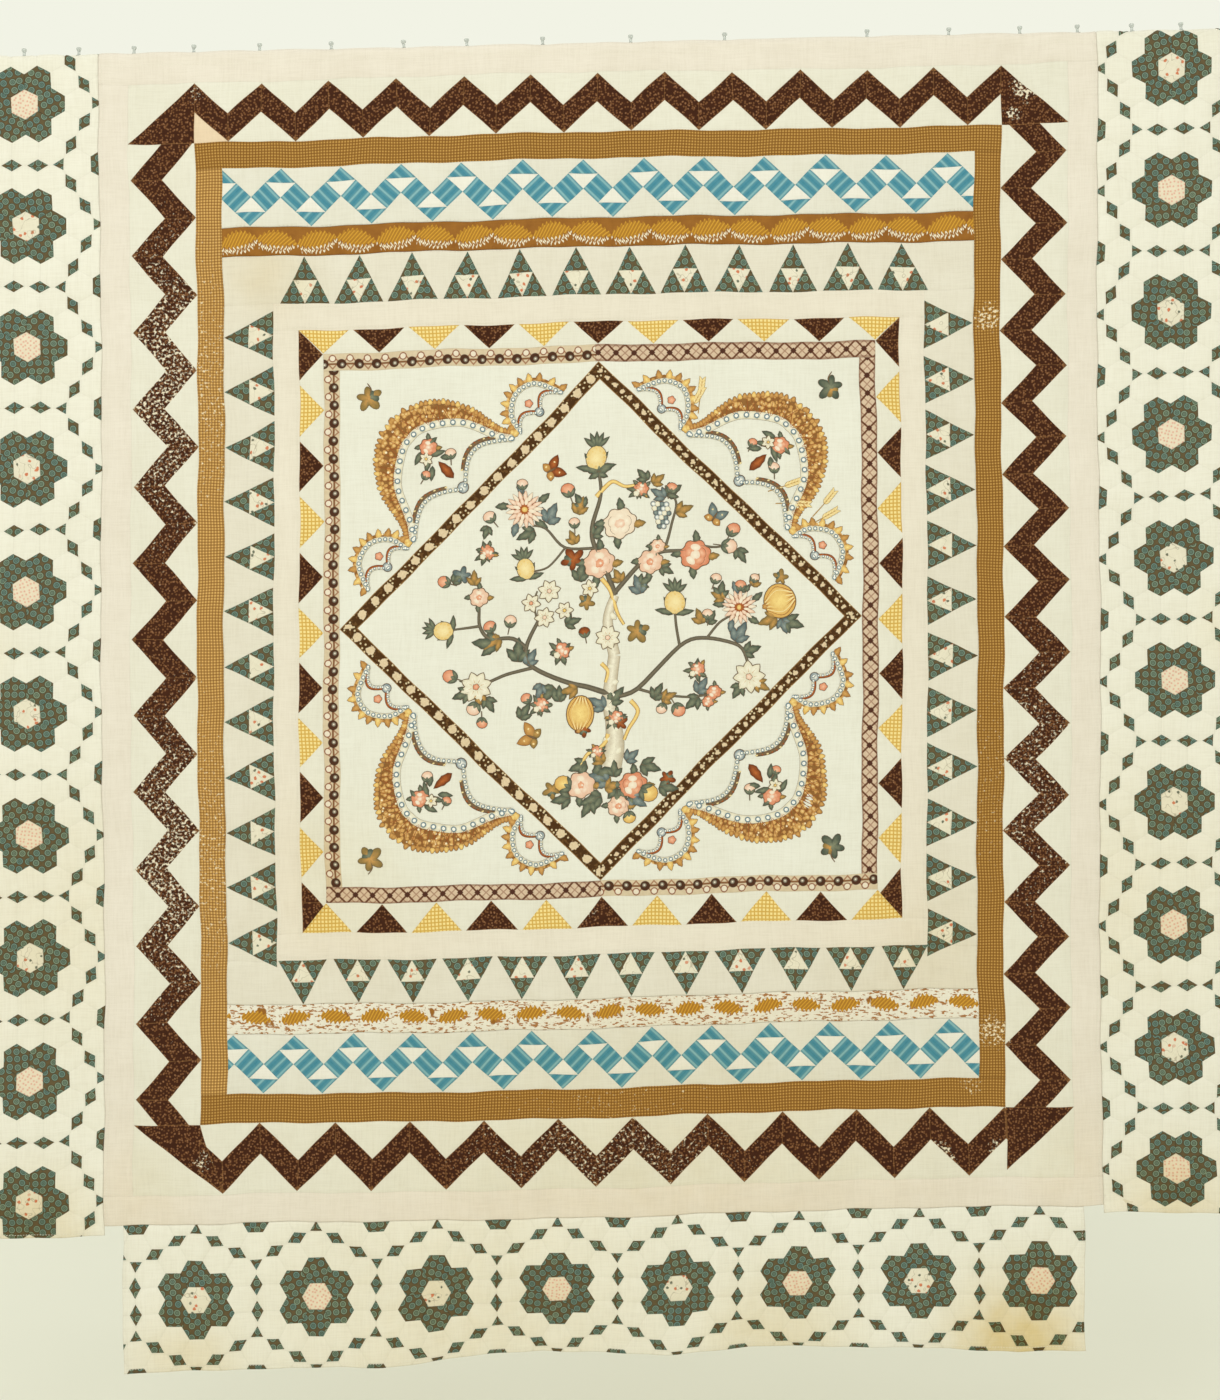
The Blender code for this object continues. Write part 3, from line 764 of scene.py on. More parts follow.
def blue_strip(top, bottom, first, pitch):
    """Patches of one blue strip: peaks every pitch from first, all clipped to the strip."""
    middle, rise = (top + bottom) / 2, (top - bottom) / 2
    made = []
    for k in range(-26, 27):
        x, way = first + k * pitch / 2, 1 if k % 2 == 0 else -1
        half = middle + way * rise / 2
        made.append(([(x - pitch / 4, half), (x + pitch / 4, half), (x, middle + way * (rise - 0.001))],
                     "blue_stripe", (0.78 * way, x, half)))
        made.append(([(x - pitch / 4, half), (x + pitch / 4, half), (x, middle)], "bright_cream", straight))
        centre, slant = x + pitch / 4, radians(45 if k % 2 else -45)
        square = [(centre - pitch / 4, middle), (centre, middle - rise / 2), (centre + pitch / 4, middle),
                  (centre, middle + rise / 2)]
        made.append((square, "blue_stripe", (slant + (pi / 2 if k % 5 == 0 else 0), centre, middle)))
    cut = [(clip(shape, -strips_half, strips_half, top, bottom), cloth, turn) for shape, cloth, turn in made]
    cut = [patch for patch in cut if patch[0]]
    return cut + [(box_of(-strips_half, strips_half, top, bottom), "strip_cream", straight)]


_, blue_top, blue_join = outline_of("top_blue_strip")
border_patches += blue_strip(blue_top, blue_join, -0.4746, 0.0906)
_, blue_join, blue_bottom = outline_of("bottom_blue_strip")
border_patches += blue_strip(blue_join, blue_bottom, -0.286, 0.0895)

# ---- Leaf strips
# A narrow strip of leaf print between each blue strip and the pyramids: golden veined leaves
# outlined in white dots on brown. The lower strip's ground has worn nearly white in the middle.


def leaf_print(worn_ground):
    def draw(paint):
        ground = paint.mix(paint.noise(0.02, 3.0), (170, 116, 48), (132, 82, 34))
        if worn_ground:
            specks = paint.noise(0.0044, 2.0, 2.0, (0.6, 1.6, 1)).below(0.42, 0.04)
            bare = paint.mix(specks, (236, 232, 220), (170, 118, 70))
            away = paint.noise(0.026, 5.0, 9.0, (1, 0.6, 1)).below(0.68, 0.03)
            ground = paint.mix(away, ground, bare)
        period, reach, wide = (0.118, 0.0255, 0.0108) if worn_ground else (0.118, 0.0330, 0.0128)
        for start, tilt in ((-0.0295, 0.17), (0.0295, -0.13)):
            along, over = (paint.x + start).cycle(period), paint.y - 0.0035
            u = along * cos(tilt) + over * sin(tilt)
            side_ = over * cos(tilt) - along * sin(tilt) + u * u * 4.0
            ragged = (u.wave(0.0065) - 0.5) * 0.0022
            edge = (1 - u * u * (1 / reach ** 2)) * wide + ragged
            inside = (abs(side_) - edge).below(0.0, 0.0006)
            veins = (u * 1.0 + side_ * -0.8).wave(0.0056).below(0.42, 0.3)
            gold = paint.mix(veins * 0.75, (214, 162, 58), (150, 98, 32))
            gold = paint.mix(paint.noise(0.003) * 0.5, gold, (196, 142, 54))
            if not worn_ground:
                for row in (0.0030, 0.0078):
                    dots = abs(side_ + edge + row - 0.0005).below(0.0016, 0.0006)
                    dots = dots * abs((u + row * 0.4).cycle(0.0056)).below(0.0017, 0.0006)
                    dots = dots * abs(u).below(reach * (0.98 - row * 30), 0.001)
                    ground = paint.mix(dots, ground, (240, 230, 206))
            ground = paint.mix(inside, ground, gold)
        return ground
    return draw


fabric("leaf_print", leaf_print(False), seam_line_and_painted_shade=(0.8, 0.0007))
fabric("leaf_print_worn", leaf_print(True), seam_line_and_painted_shade=(0.9, 0.0007))
for end, cloth, shift in (("top", "leaf_print", 0.02), ("bottom", "leaf_print_worn", -0.02)):
    _, leaf_top, leaf_bottom = outline_of(f"{end}_leaf_strip")
    border_patches.append((box_of(-strips_half, strips_half, leaf_top, leaf_bottom), cloth,
                           (0, shift, (leaf_top + leaf_bottom) / 2)))
border_patches += zigzag_ground + ring("outer_cream", (body_half, heading_back, body_bottom), zigzag_size)

worn_places = [(-0.64, -0.50, 0.60, 0.535), (-0.64, -1.20, 0.60, 0.535), (0.0, -1.66, 0.6, 0.50),
               (0.64, -1.1, 0.60, 0.50), (-0.60, -0.06, 0.035, 0.52), (0.64, -0.075, 0.045, 0.62),
               (0.62, -0.115, 0.03, 0.56),
               (-0.60, -1.66, 0.035, 0.56), (0.50, -1.68, 0.05, 0.62), (0.585, -1.665, 0.03, 0.56),
               (0.36, -1.66, 0.05, 0.42), (0.66, -1.34, 0.06, 0.42), (-0.63, -1.46, 0.05, 0.42),
               (0.585, -0.42, 0.05, 0.62), (0.59, -1.05, 0.10, 0.45), (-0.585, -0.95, 0.12, 0.49),
               (-0.585, -1.25, 0.10, 0.49), (-0.585, -0.55, 0.12, 0.32), (0.59, -0.75, 0.09, 0.42),
               (-0.30, -1.59, 0.12, 0.39), (0.55, -1.57, 0.05, 0.56), (0.585, -1.49, 0.06, 0.62)]
borders = sew("quilt_borders", border_patches, worn_places,
              [(-0.70, -1.72, 0.10, 0.2), (0.70, -1.70, 0.10, 0.2), (0.1, -1.74, 0.5, 0.25)])


def pin_up(cloth, nodes, size):
    """A cloth that stands for nodes: its place is baked into its points and the nodes are hidden."""
    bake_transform(cloth)
    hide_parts(*nodes)


pyramid_half, pyramid_top, pyramid_bottom = pyramid_size = outline_of("pyramid_border")
body_long = heading_back - body_bottom
pin_up(borders, ("quilt_heading", "outer_border", "zigzag_border", "gold_check_border", "top_blue_strip",
                 "bottom_blue_strip", "top_leaf_strip", "bottom_leaf_strip"),
       (2 * body_half, body_long))

# ---- Pyramid border
# Green-print triangles stand on the plain border, twelve to a side, points outwards. Each is pieced
# from three small green triangles round a white flowered one, on greyish cream, with plain corners.


def green_print(paint):
    distance, chance = paint.cells(0.0118, 0.22, 2.0)
    ground = paint.mix(paint.noise(0.004, 3.0), (112, 94, 66), (88, 80, 56))
    teal = paint.mix(chance, (132, 150, 128), (108, 138, 132))
    print_ = paint.mix(distance.below(0.47, 0.05), ground, (70, 64, 48))
    print_ = paint.mix(distance.below(0.40, 0.05), print_, teal)
    print_ = paint.mix(abs(distance - 0.22).below(0.050, 0.04) * 0.85, print_, (64, 74, 62))
    print_ = paint.mix(distance.below(0.12, 0.06) * 0.6, print_, (52, 66, 58))
    return print_


def white_floral(paint):
    white = paint.mix(paint.noise(0.02), (238, 232, 214), (228, 222, 202))
    blot, chance = paint.cells(0.0125, 0.9, 6.0)
    coral = paint.mix(paint.noise(0.003), (226, 150, 112), (196, 104, 74))
    grey = paint.mix(paint.noise(0.003), (128, 132, 112), (92, 96, 84))
    ragged = blot + paint.noise(0.004) * 0.35
    white = paint.mix(ragged.below(0.36, 0.05) * chance.below(0.42, 0.02), white, coral)
    white = paint.mix(ragged.below(0.33, 0.05) * (1 - chance.below(0.72, 0.02)), white, grey)
    stems = abs(paint.noise(0.016, 1.0, 8.0) - 0.5).below(0.010, 0.008)
    return paint.mix(stems * 0.45, white, (140, 126, 100))


fabric("green_print", green_print, seam_line_and_painted_shade=(0.75, 0.0007))
fabric("white_floral", white_floral)
cream("pyramid_cream", (232, 227, 215), (225, 219, 204))
cream("plain_cream", (237, 230, 217), (230, 222, 208))
plain_half, plain_top, plain_bottom = plain_size = outline_of("plain_border")
tooth_half, tooth_top, tooth_bottom = tooth_size = outline_of("sawtooth_border")
berry_half, berry_top, berry_bottom = berry_size = outline_of("berry_strip")
centre_half, centre_top, centre_bottom = outline_of("centre_square")


def beside_square(half, top, bottom, side, along, out):
    """A place along one side of a square border and out from it."""
    return {"top": (along, top + out), "bottom": (along, bottom - out),
            "left": (-half - out, along), "right": (half + out, along)}[side]


medallion_patches = []
for side, first, pitch, tall in (
        ("top", -0.441, 0.0816, pyramid_top - plain_top),
        ("bottom", -0.450, 0.0822, plain_bottom - pyramid_bottom),
        ("left", -0.424, -0.0827, pyramid_half - plain_half),
        ("right", -0.428, -0.0832, pyramid_half - plain_half)):
    for k in range(12):
        x, wide = first + pitch * k, 0.0368 + 0.0010 * sin(5 * k + len(side))
        foot_left, foot_right, peak = (x - wide, 0), (x + wide, 0), (x + 0.001 * sin(9 * k), tall - 0.0008)
        left, right = (((foot[0] + peak[0]) / 2, peak[1] * 0.5) for foot in (foot_left, foot_right))
        base = (x, 0)
        for shape, cloth in (
                ((foot_left, base, left), "green_print"), ((base, foot_right, right), "green_print"),
                ((left, right, peak), "green_print"), ((base, right, left), "white_floral")):
            placed = [beside_square(*plain_size, side, *place) for place in shape]
            medallion_patches.append((placed, cloth, (0.7 * k, k * 0.031, k * 0.017)))
medallion_patches += ring("pyramid_cream", pyramid_size, plain_size)
medallion_patches += ring("plain_cream", plain_size, tooth_size)

# ---- Sawtooth border
# Brown-print and yellow-check triangles in turn, bases outwards, with one of each meeting on the
# slant at every corner, on cream.


def yellow_check(paint):
    pitch = 0.0056
    across, up = abs(paint.x.cycle(pitch)), abs(paint.y.cycle(pitch))
    lines = (1 - across.below(0.0018, 0.0006)).high(1 - up.below(0.0018, 0.0006))
    return paint.mix(lines * 0.95, (246, 226, 156), (214, 170, 78))


fabric("yellow_check", yellow_check, seam_line_and_painted_shade=(0.85, 0.0007))
for side in ("top", "bottom", "left", "right"):
    level = side in ("top", "bottom")
    long = 2 * tooth_half if level else tooth_top - tooth_bottom
    start = -tooth_half if level else tooth_top
    way = 1 if level else -1
    deep = {"top": tooth_top - berry_top, "bottom": berry_bottom - tooth_bottom}.get(
        side, tooth_half - berry_half)
    base = 0.0760
    pitch = (long - base) / 10
    for k in range(11):
        near, far = start + way * pitch * k, start + way * (pitch * k + base)
        point = (near + far) / 2
        if k == 0:
            point = start + way * (tooth_half - berry_half)
        if k == 10:
            point = start + way * (long - (tooth_half - berry_half))
        shape = [beside_square(*berry_size, side, *place)
                 for place in ((near, deep), (far, deep), (point, 0.0006))]
        brown = (k % 2 == 0) != level
        medallion_patches.append((shape, "brown_print" if brown else "yellow_check", (0, k * 0.011, 0)))
medallion_patches += ring("zigzag_cream", tooth_size, berry_size)

# ---- Berry strip
# A narrow printed edging round the centre: dark round berries and white beads on a rusty lattice
# down the left, along the bottom and part of the top, and a pinkish lattice on the rest.


def berries(paint):
    step = 0.0265
    ground = paint.mix(paint.noise(0.006), (226, 210, 182), (206, 186, 156))
    u, half = paint.x.cycle(step), (paint.x + step / 2).cycle(step)
    rust = abs(abs(u) - abs(paint.y) * 0.9 - 0.004).below(0.0014, 0.0008)
    colour = paint.mix(rust * 0.8, ground, (152, 94, 62))
    chain = abs(paint.y + 0.0030).below(0.0015, 0.0008)
    colour = paint.mix(chain, colour, (134, 92, 62))
    bead = (half * half + (paint.y - 0.0055) * (paint.y - 0.0055)).join("SQRT")
    colour = paint.mix(bead.below(0.0056, 0.0008), colour, (140, 84, 58))
    colour = paint.mix(bead.below(0.0040, 0.0008), colour, (236, 224, 206))
    berry = (u * u + (paint.y + 0.0030) * (paint.y + 0.0030)).join("SQRT")
    colour = paint.mix(berry.below(0.0074, 0.0010), colour, (78, 48, 32))
    shine = ((u - 0.0012) * (u - 0.0012) + (paint.y + 0.0042) * (paint.y + 0.0042)).join("SQRT")
    colour = paint.mix(shine.below(0.0030, 0.0010), colour, (140, 132, 118))
    return paint.mix(shine.below(0.0013, 0.0008), colour, (232, 222, 204))


def lattice(paint):
    step = 0.0265
    ground = paint.mix(paint.noise(0.005), (226, 204, 180), (204, 178, 152))
    u = abs(paint.x.cycle(step))
    cross = abs(u - abs(paint.y) * 1.0).below(0.0020, 0.0008)
    other = abs(abs((paint.x + step / 2).cycle(step)) - abs(paint.y) * 1.05).below(0.0012, 0.0008)
    colour = paint.mix(other * 0.7, ground, (150, 104, 84))
    colour = paint.mix(cross, colour, (106, 66, 46))
    middle = (u + abs(paint.y)).below(0.0048, 0.0008)
    colour = paint.mix(middle, colour, (80, 46, 34))
    edges = (1 - abs(paint.y).below(0.0096, 0.0010))
    return paint.mix(edges * 0.55, colour, (120, 78, 60))


fabric("berries", berries)
fabric("lattice", lattice)
berry_mid_top, berry_mid_bottom = (berry_top + centre_top) / 2, (berry_bottom + centre_bottom) / 2
berry_mid = (berry_half + centre_half) / 2
medallion_patches += [
    (box_of(-berry_half, -0.004, berry_top, centre_top), "berries", (0, -0.388, berry_mid_top)),
    (box_of(-0.004, berry_half, berry_top, centre_top), "lattice", (0, 0, berry_mid_top)),
    (box_of(-berry_half, -centre_half, centre_top, centre_bottom), "berries",
     (pi / 2, -berry_mid, centre_top)),
    (box_of(centre_half, berry_half, centre_top, centre_bottom), "lattice", (pi / 2, berry_mid, centre_top)),
    (box_of(-berry_half, 0.0, centre_bottom, berry_bottom), "lattice", (0, 0, berry_mid_bottom)),
    (box_of(0.0, berry_half, centre_bottom, berry_bottom), "berries", (pi, 0.012, berry_mid_bottom))]

# ---- Centre square
# Fine light cream cotton, framed on the slant by a strip of dark brown print with cream flowers, so
# a square stands on its point inside a square.


def flower_strip(step, cover):
    def draw(paint):
        ragged = (paint.noise(0.0045, 3.0, 4.0) - 0.5) * 0.008
        u = paint.x.cycle(step)
        flower = ((u * u + paint.y * paint.y).join("SQRT") + ragged).below(step * cover, 0.0010)
        cream_ = paint.mix(paint.noise(0.003), (236, 220, 190), (212, 184, 146))
        dark = paint.mix(paint.noise(0.004, 2.0, 2.0).below(0.42, 0.05), (76, 48, 20), (104, 72, 38))
        specks, chance = paint.cells(0.0066, 1.0, 1.0)
        dark = paint.mix(specks.below(0.22, 0.08) * chance.below(0.5, 0.02), dark, (222, 204, 166))
        strip = paint.mix(flower * abs(paint.y).below(0.0082, 0.0010), dark, cream_)
        return paint.mix((1 - abs(paint.y).below(0.0084, 0.0005)) * 0.6, strip, (196, 152, 92))
    return draw


fabric("flower_strip", flower_strip(0.0285, 0.23))
fabric("scattered_strip", flower_strip(0.0150, 0.22))
cream("centre_cream", (236, 236, 227), (231, 230, 219), 0.5)
mid_y = (centre_top + centre_bottom) / 2
tall_half = (centre_top - centre_bottom) / 2
strip_wide = 0.0190
inset = 1 - strip_wide * hypot(centre_half, tall_half) / (centre_half * tall_half)
points = [(0, 1), (1, 0), (0, -1), (-1, 0)]
outer_points = [(x * centre_half, mid_y + y * tall_half) for x, y in points]
inner_points = [(x * centre_half * inset, mid_y + y * tall_half * inset) for x, y in points]
for k in range(4):
    a, b, c, d = outer_points[k], outer_points[(k + 1) % 4], inner_points[(k + 1) % 4], inner_points[k]
    slant = atan2(b[1] - a[1], b[0] - a[0])
    medallion_patches.append(([a, b, c, d], "scattered_strip" if k in (0, 1) else "flower_strip",
                              (slant, (a[0] + c[0]) / 2, (a[1] + c[1]) / 2)))
medallion_patches.append((inner_points, "centre_cream", straight))
for k, (sx, sy) in enumerate(((1, 1), (1, -1), (-1, -1), (-1, 1))):
    shape = [outer_points[k], outer_points[(k + 1) % 4], (sx * centre_half, mid_y + sy * tall_half)]
    medallion_patches.append((shape, "centre_cream", straight))

medallion = sew("quilt_medallion", medallion_patches,
                [(0.43, -0.43, 0.03, 0.3), (-0.02, -1.30, 0.04, 0.5), (0.05, -0.435, 0.03, 0.45)],
                [(-0.38, -1.24, 0.12, 0.2), (0.5, -1.4, 0.15, 0.2), (-0.5, -0.33, 0.06, 0.3)])
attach(medallion, "quilt")
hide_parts("centre_square", "berry_strip", "sawtooth_border", "plain_border", "pyramid_border")

# ---- Hexagon wings and drop
# Paper-pieced hexagons, 23 mm a side, in rosettes of nineteen: a pink-speckled or flowered middle,
# six in green print and twelve cream, with small green diamonds and triangles let in between.


def pink_speckle(paint):
    dots, chance = paint.cells(0.0056, 0.5, 3.0)
    ground = paint.mix(paint.noise(0.01), (238, 228, 206), (232, 216, 194))
    return paint.mix(dots.below(0.26, 0.12) * 0.75, ground, (226, 164, 144))


fabric("pink_speckle", pink_speckle)
cream("wing_cream", (241, 239, 229), (235, 232, 219), 0.5, (0.95, 0.0006))


def rosettes(middle, turned, first, pitch, count, left, right, top, bottom, start):
    """Patches of one run of rosettes along a line, with slices of the runs to either side, clipped."""
    side = pitch / 8
    made, seen = [], set()
    for column in (-1, 0, 1):
        for k in range(-2, count + 2):
            u0, v0 = column * 4 * sqrt(3) * side, first + pitch * (k + (0.5 if column else 0))

            def place(u, v):
                return (v0 + v, middle + (u0 + u)) if turned else (middle + (u0 + u), v0 + v)

            for j in range(-2, 3):
                for i in range(-2, 3):
                    away = max(abs(i), abs(j), abs(i + j))
                    if away > 2:
                        continue
                    cu, cv = sqrt(3) * side * (i + j / 2), 1.5 * side * j
                    shape = [place(cu + side * cos(a), cv + side * sin(a))
                             for a in (radians(90 + 60 * n) for n in range(6))]
                    cloth = ("white_floral", "pink_speckle")[(k + start) % 2] if away == 0 else \
                        "green_print" if away == 1 else "wing_cream"
                    made.append((shape, cloth, (0.9 * i + k, 0.013 * k, 0.017 * j) if away < 2 else straight))
            for n in range(6):
                way, out = radians(30 + 60 * n), radians(60 * n)
                ahead, aside = (cos(way), sin(way)), (-sin(way), cos(way))
                for s in (-1, 1):
                    cu, cv = (4 * side * ahead[q] + s * sqrt(3) / 2 * side * aside[q] for q in (0, 1))
                    long, short = sqrt(3) / 2 * side * 0.80, side / 2 * 0.80
                    shape = [place(cu + a * long * aside[0] + b * short * ahead[0],
                                   cv + a * long * aside[1] + b * short * ahead[1])
                             for a, b in ((1, 0), (0, 1), (-1, 0), (0, -1))]
                    made.append((shape, "green_print", straight))
                cu, cv = (8 / sqrt(3) * side * f(out) for f in (cos, sin))
                shape = [place(cu + side * 0.46 * cos(a), cv + side * 0.46 * sin(a))
                         for a in (out + radians(120 * m) for m in range(3))]
                made.append((shape, "green_print", straight))
    kept = []
    for shape, cloth, turn in made:
        key = tuple(round(sum(axis) / len(shape), 4) for axis in zip(*shape))
        if key not in seen:
            seen.add(key)
            part = clip(shape, left, right, top, bottom)
            if part:
                kept.append((part, cloth, turn))
    return kept + [(box_of(left, right, top, bottom), "wing_cream", straight)]


wings, wing_pitch, drop_pitch = {}, 0.183, 0.180
for side, sign, first in (("left", -1, -0.070), ("right", 1, -0.055)):
    low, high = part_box(f"{side}_wing")
    left, right, bottom = float(low[0]), float(high[0]), float(low[2]) - rail_top
    wing_patches = rosettes(sign * 0.858, False, first - 9 * wing_pitch, wing_pitch, 10, left, right,
                            heading_back, bottom, 0 if sign < 0 else 1)
    wing = sew(f"{side}_wing_mosaic", wing_patches, (), [
        (sign * 0.85, bottom, 0.09, 0.5), (sign * 0.94, -0.9, 0.06, 0.2), (sign * 0.78, -1.3, 0.2, 0.2)])
    pin_up(wing, [f"{side}_wing"], (right - left, heading_back - bottom))
    wings[side] = (left, right, bottom)

low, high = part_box("hexagon_drop")
drop_half, drop_bottom = float(high[0]), float(low[2]) - rail_top
drop_patches = rosettes(-1.867, True, -0.609, drop_pitch, 8, -drop_half, drop_half, -drop_top, drop_bottom, 0)
drop = sew("drop_mosaic", drop_patches, (), [
    (0.62, drop_bottom, 0.10, 1.0), (0.25, drop_bottom, 0.12, 0.45), (-0.2, drop_bottom, 0.3, 0.3),
    (-0.62, drop_bottom, 0.08, 0.45)])


def sew_below(cloth, node):
    """A cloth that stands for a node: its place is baked into its points and the node is hidden."""
    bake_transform(cloth)
    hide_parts(node)


sew_below(drop, "hexagon_drop")

# ---- Linings
# Plain unbleached cotton behind the body, each wing and the drop, felled to the top along its edges.


def lining_print(paint):
    return paint.mix(paint.noise(0.05, 3.0), (232, 226, 208), (222, 213, 190))


fabric("lining_cotton", lining_print, thread=0.0013)


def line_with(name, left, right, top, bottom, step=0.024):
    """A plain back cloth of the same outline, facing the rack."""
    across = np.linspace(left, right, max(3, round((right - left) / step)))
    up = np.concatenate([np.linspace(top - 0.001, -0.012, 6), np.linspace(-0.008, 0.006, 8)[::-1]]) \
        if top > 0 else np.array([top - 0.001])
    up = np.unique(np.round(np.concatenate([up, np.linspace(min(top, -0.012), bottom + 0.0012, max(
        3, round((min(top, -0.012) - bottom) / step)))]), 5))
    wide = len(across)
    flat = np.array([(x, y, 0.0003 - cloth_thick) for y in up for x in across])
    faces = [(r * wide + c, (r + 1) * wide + c, (r + 1) * wide + c + 1, r * wide + c + 1)
             for r in range(len(up) - 1) for c in range(wide - 1)]
    same = np.ones(len(flat))
    mesh = shaped(name, hang(flat).tolist(), faces, seam=same * 0.01, worn=same * 0.0, aged=same * 0.15)
    mesh.materials.append(fabrics["lining_cotton"])
    loops = np.array(faces).ravel()
    mesh.uv_layers.new(name="cloth").data.foreach_set("uv", flat[loops, :2].astype(np.float32).ravel())
    mesh.shade_smooth()
    return add(name, mesh)


for part, (left, right, bottom) in (("body", (-body_half, body_half, body_bottom)),
                                    ("left_wing", wings["left"]), ("right_wing", wings["right"])):
    back = line_with(f"{part}_back", left, right, heading_back, bottom)
    pin_up(back, [f"{part}_lining"], (right - left, heading_back - bottom))
drop_back = line_with("drop_back", -drop_half, drop_half, -drop_top, drop_bottom, 0.012)
sew_below(drop_back, "drop_lining")

# ---- Tree of life and corner festoons
# Flowers, fruit, leaves, butterflies and beaded festoons, cut out of glazed printed cotton and laid
# on the centre square one over another, each with its printed dark outline.


def chintz(name, rim, heart, strength=1.0):
    """Printed cotton that shades from its rim colour to its heart colour."""
    paint = Paint(name, 0.8, Sheen_Weight=0.03, Specular_IOR_Level=0.15)
    blur = paint.noise(0.005, 3.0) - 0.5
    colour = paint.mix((paint.attribute("shade") * strength + blur * 0.7).low(1.0).high(0.0), rim, heart)
    fleck = paint.noise(0.0016, 2.0, 4.0)
    colour = paint.mix(fleck.below(0.40, 0.1) * 0.35, colour, rim)
    return paint.finish(colour, paint.x.wave(0.0010) * paint.z.wave(0.0010) * 0.5 + fleck, 0.00012)


def lace_print():
    """Ochre and brown feathery print of the fringes, flecked with cream."""
    paint = Paint("print_lace", 0.8, Sheen_Weight=0.03, Specular_IOR_Level=0.15)
    distance, chance = paint.cells(0.0062, 1.0, 3.0)
    curl = distance + paint.noise(0.003) * 0.3
    colour = paint.mix(chance, (210, 164, 98), (184, 132, 72))
    colour = paint.mix(curl.below(0.42, 0.10) * 0.8, colour, (228, 196, 136))
    colour = paint.mix((1 - curl.below(0.68, 0.08)) * 0.8, colour, (118, 74, 34))
    fleck, chance = paint.cells(0.0085, 1.0, 5.0)
    colour = paint.mix(fleck.below(0.20, 0.08) * chance.below(0.5, 0.02), colour, (240, 226, 192))
    return paint.finish(colour, curl, 0.00015)


prints = {}
for name, *shades in (
        ("ink", (104, 80, 56), (126, 102, 76)), ("bark", (84, 78, 66), (122, 112, 94)),
        ("dusk", (186, 172, 148), (236, 230, 212)), ("pale", (222, 214, 190), (240, 236, 220)),
        ("dark_leaf", (70, 80, 70), (132, 136, 112)), ("blue_leaf", (80, 96, 100), (146, 156, 150)),
        ("gold_leaf", (128, 108, 62), (204, 154, 88)), ("rust", (112, 54, 26), (184, 104, 52)),
        ("ochre", (168, 118, 62), (214, 166, 98)), ("gold", (214, 168, 92), (242, 216, 142)),
        ("straw", (226, 196, 130), (242, 226, 176)), ("pink", (226, 184, 158), (242, 224, 206)),
        ("coral", (212, 132, 98), (238, 188, 156)), ("bead", (112, 132, 142), (246, 244, 236), 1.4),
        ("lace",), ("petal", (232, 212, 190), (242, 232, 214))):
    prints[name] = chintz(f"print_{name}", *shades) if shades else lace_print()
print_names = list(prints)


class Applique:
    """Cut-out motifs. Places are millimetres from the square's middle, across and down."""

    def __init__(self):
        self.points, self.faces, self.cloth, self.shade = [], [], [], []

    def lay(self, outline, cloth, level=2.0, rim=0.9, dome=0.35):
        middle = np.mean(np.array(outline, float), axis=0)
        if rim:
            away = np.array(outline, float) - middle
            grown = middle + away * (1 + rim / np.maximum(np.linalg.norm(away, axis=1, keepdims=True), 1))
            self.lay([tuple(p) for p in grown], "ink", level - 0.5, 0, 0.1)
        start, height = len(self.points), (seam_depth * 1000 + 0.12 + 0.11 * level)
        self.points += [(x, -y, height) for x, y in outline] + [(middle[0], -middle[1], height + dome)]
        count = len(outline)
        self.shade += [0.0] * count + [1.0]
        area = sum(a[0] * -b[1] - b[0] * -a[1] for a, b in zip(outline, [*outline[1:], outline[0]]))
        for k in range(count):
            a, b = start + k, start + (k + 1) % count
            self.faces.append((a, b, start + count) if area > 0 else (b, a, start + count))
        self.cloth += [print_names.index(cloth)] * count

    def stroke(self, places, wide, thin, cloth="bark", level=1.0, rim=0.5):
        """A tapering stem, ribbon or edging through a few places."""
        path = smooth_path(places, 5)
        if rim:
            self.stroke_strip(path, wide + rim, thin + rim, "ink", level - 0.4)
        self.stroke_strip(path, wide, thin, cloth, level)

    def stroke_strip(self, path, wide, thin, cloth, level):
        path = np.array(path)
        along = np.gradient(path, axis=0)
        along /= np.maximum(np.linalg.norm(along, axis=1, keepdims=True), 1e-6)
        side = np.column_stack([along[:, 1], -along[:, 0]]) * np.linspace(wide, thin, len(path))[:, None] / 2
        self.rows(((path + side, 0, 0.0), (path, 0.3, 1.0), (path - side, 0, 0.0)), cloth, level)

    def rows(self, rows, cloth, level=1.0):
        """Cloth between rows of places, given as (places, lift, shade)."""
        start, height = len(self.points), seam_depth * 1000 + 0.12 + 0.11 * level
        for places, lift, shade in rows:
            self.points += [(x, -y, height + lift) for x, y in places]
            self.shade += [shade] * len(places)
        for row in range(len(rows) - 1):
            for k in range(len(places) - 1):
                a, b = start + row * len(places) + k, start + (row + 1) * len(places) + k
                self.faces += [(a, b, b + 1), (a, b + 1, a + 1)]
                self.cloth += [print_names.index(cloth)] * 2

    def finish(self, name):
        flat = np.array(self.points) / 1000 + np.array((0, mid_y, 0))
        mesh = shaped(name, hang(flat).tolist(), self.faces, shade=self.shade)
        for cloth in print_names:
            mesh.materials.append(prints[cloth])
        mesh.polygons.foreach_set("material_index", np.array(self.cloth, np.int32))
        mesh.shade_smooth()
        bm = bmesh.new()
        bm.from_mesh(mesh)
        front = Vector((0, -1, 0))
        bmesh.ops.reverse_faces(bm, faces=[f for f in bm.faces if f.normal.dot(front) < 0])
        bm.to_mesh(mesh)
        bm.free()
        return add(name, mesh)


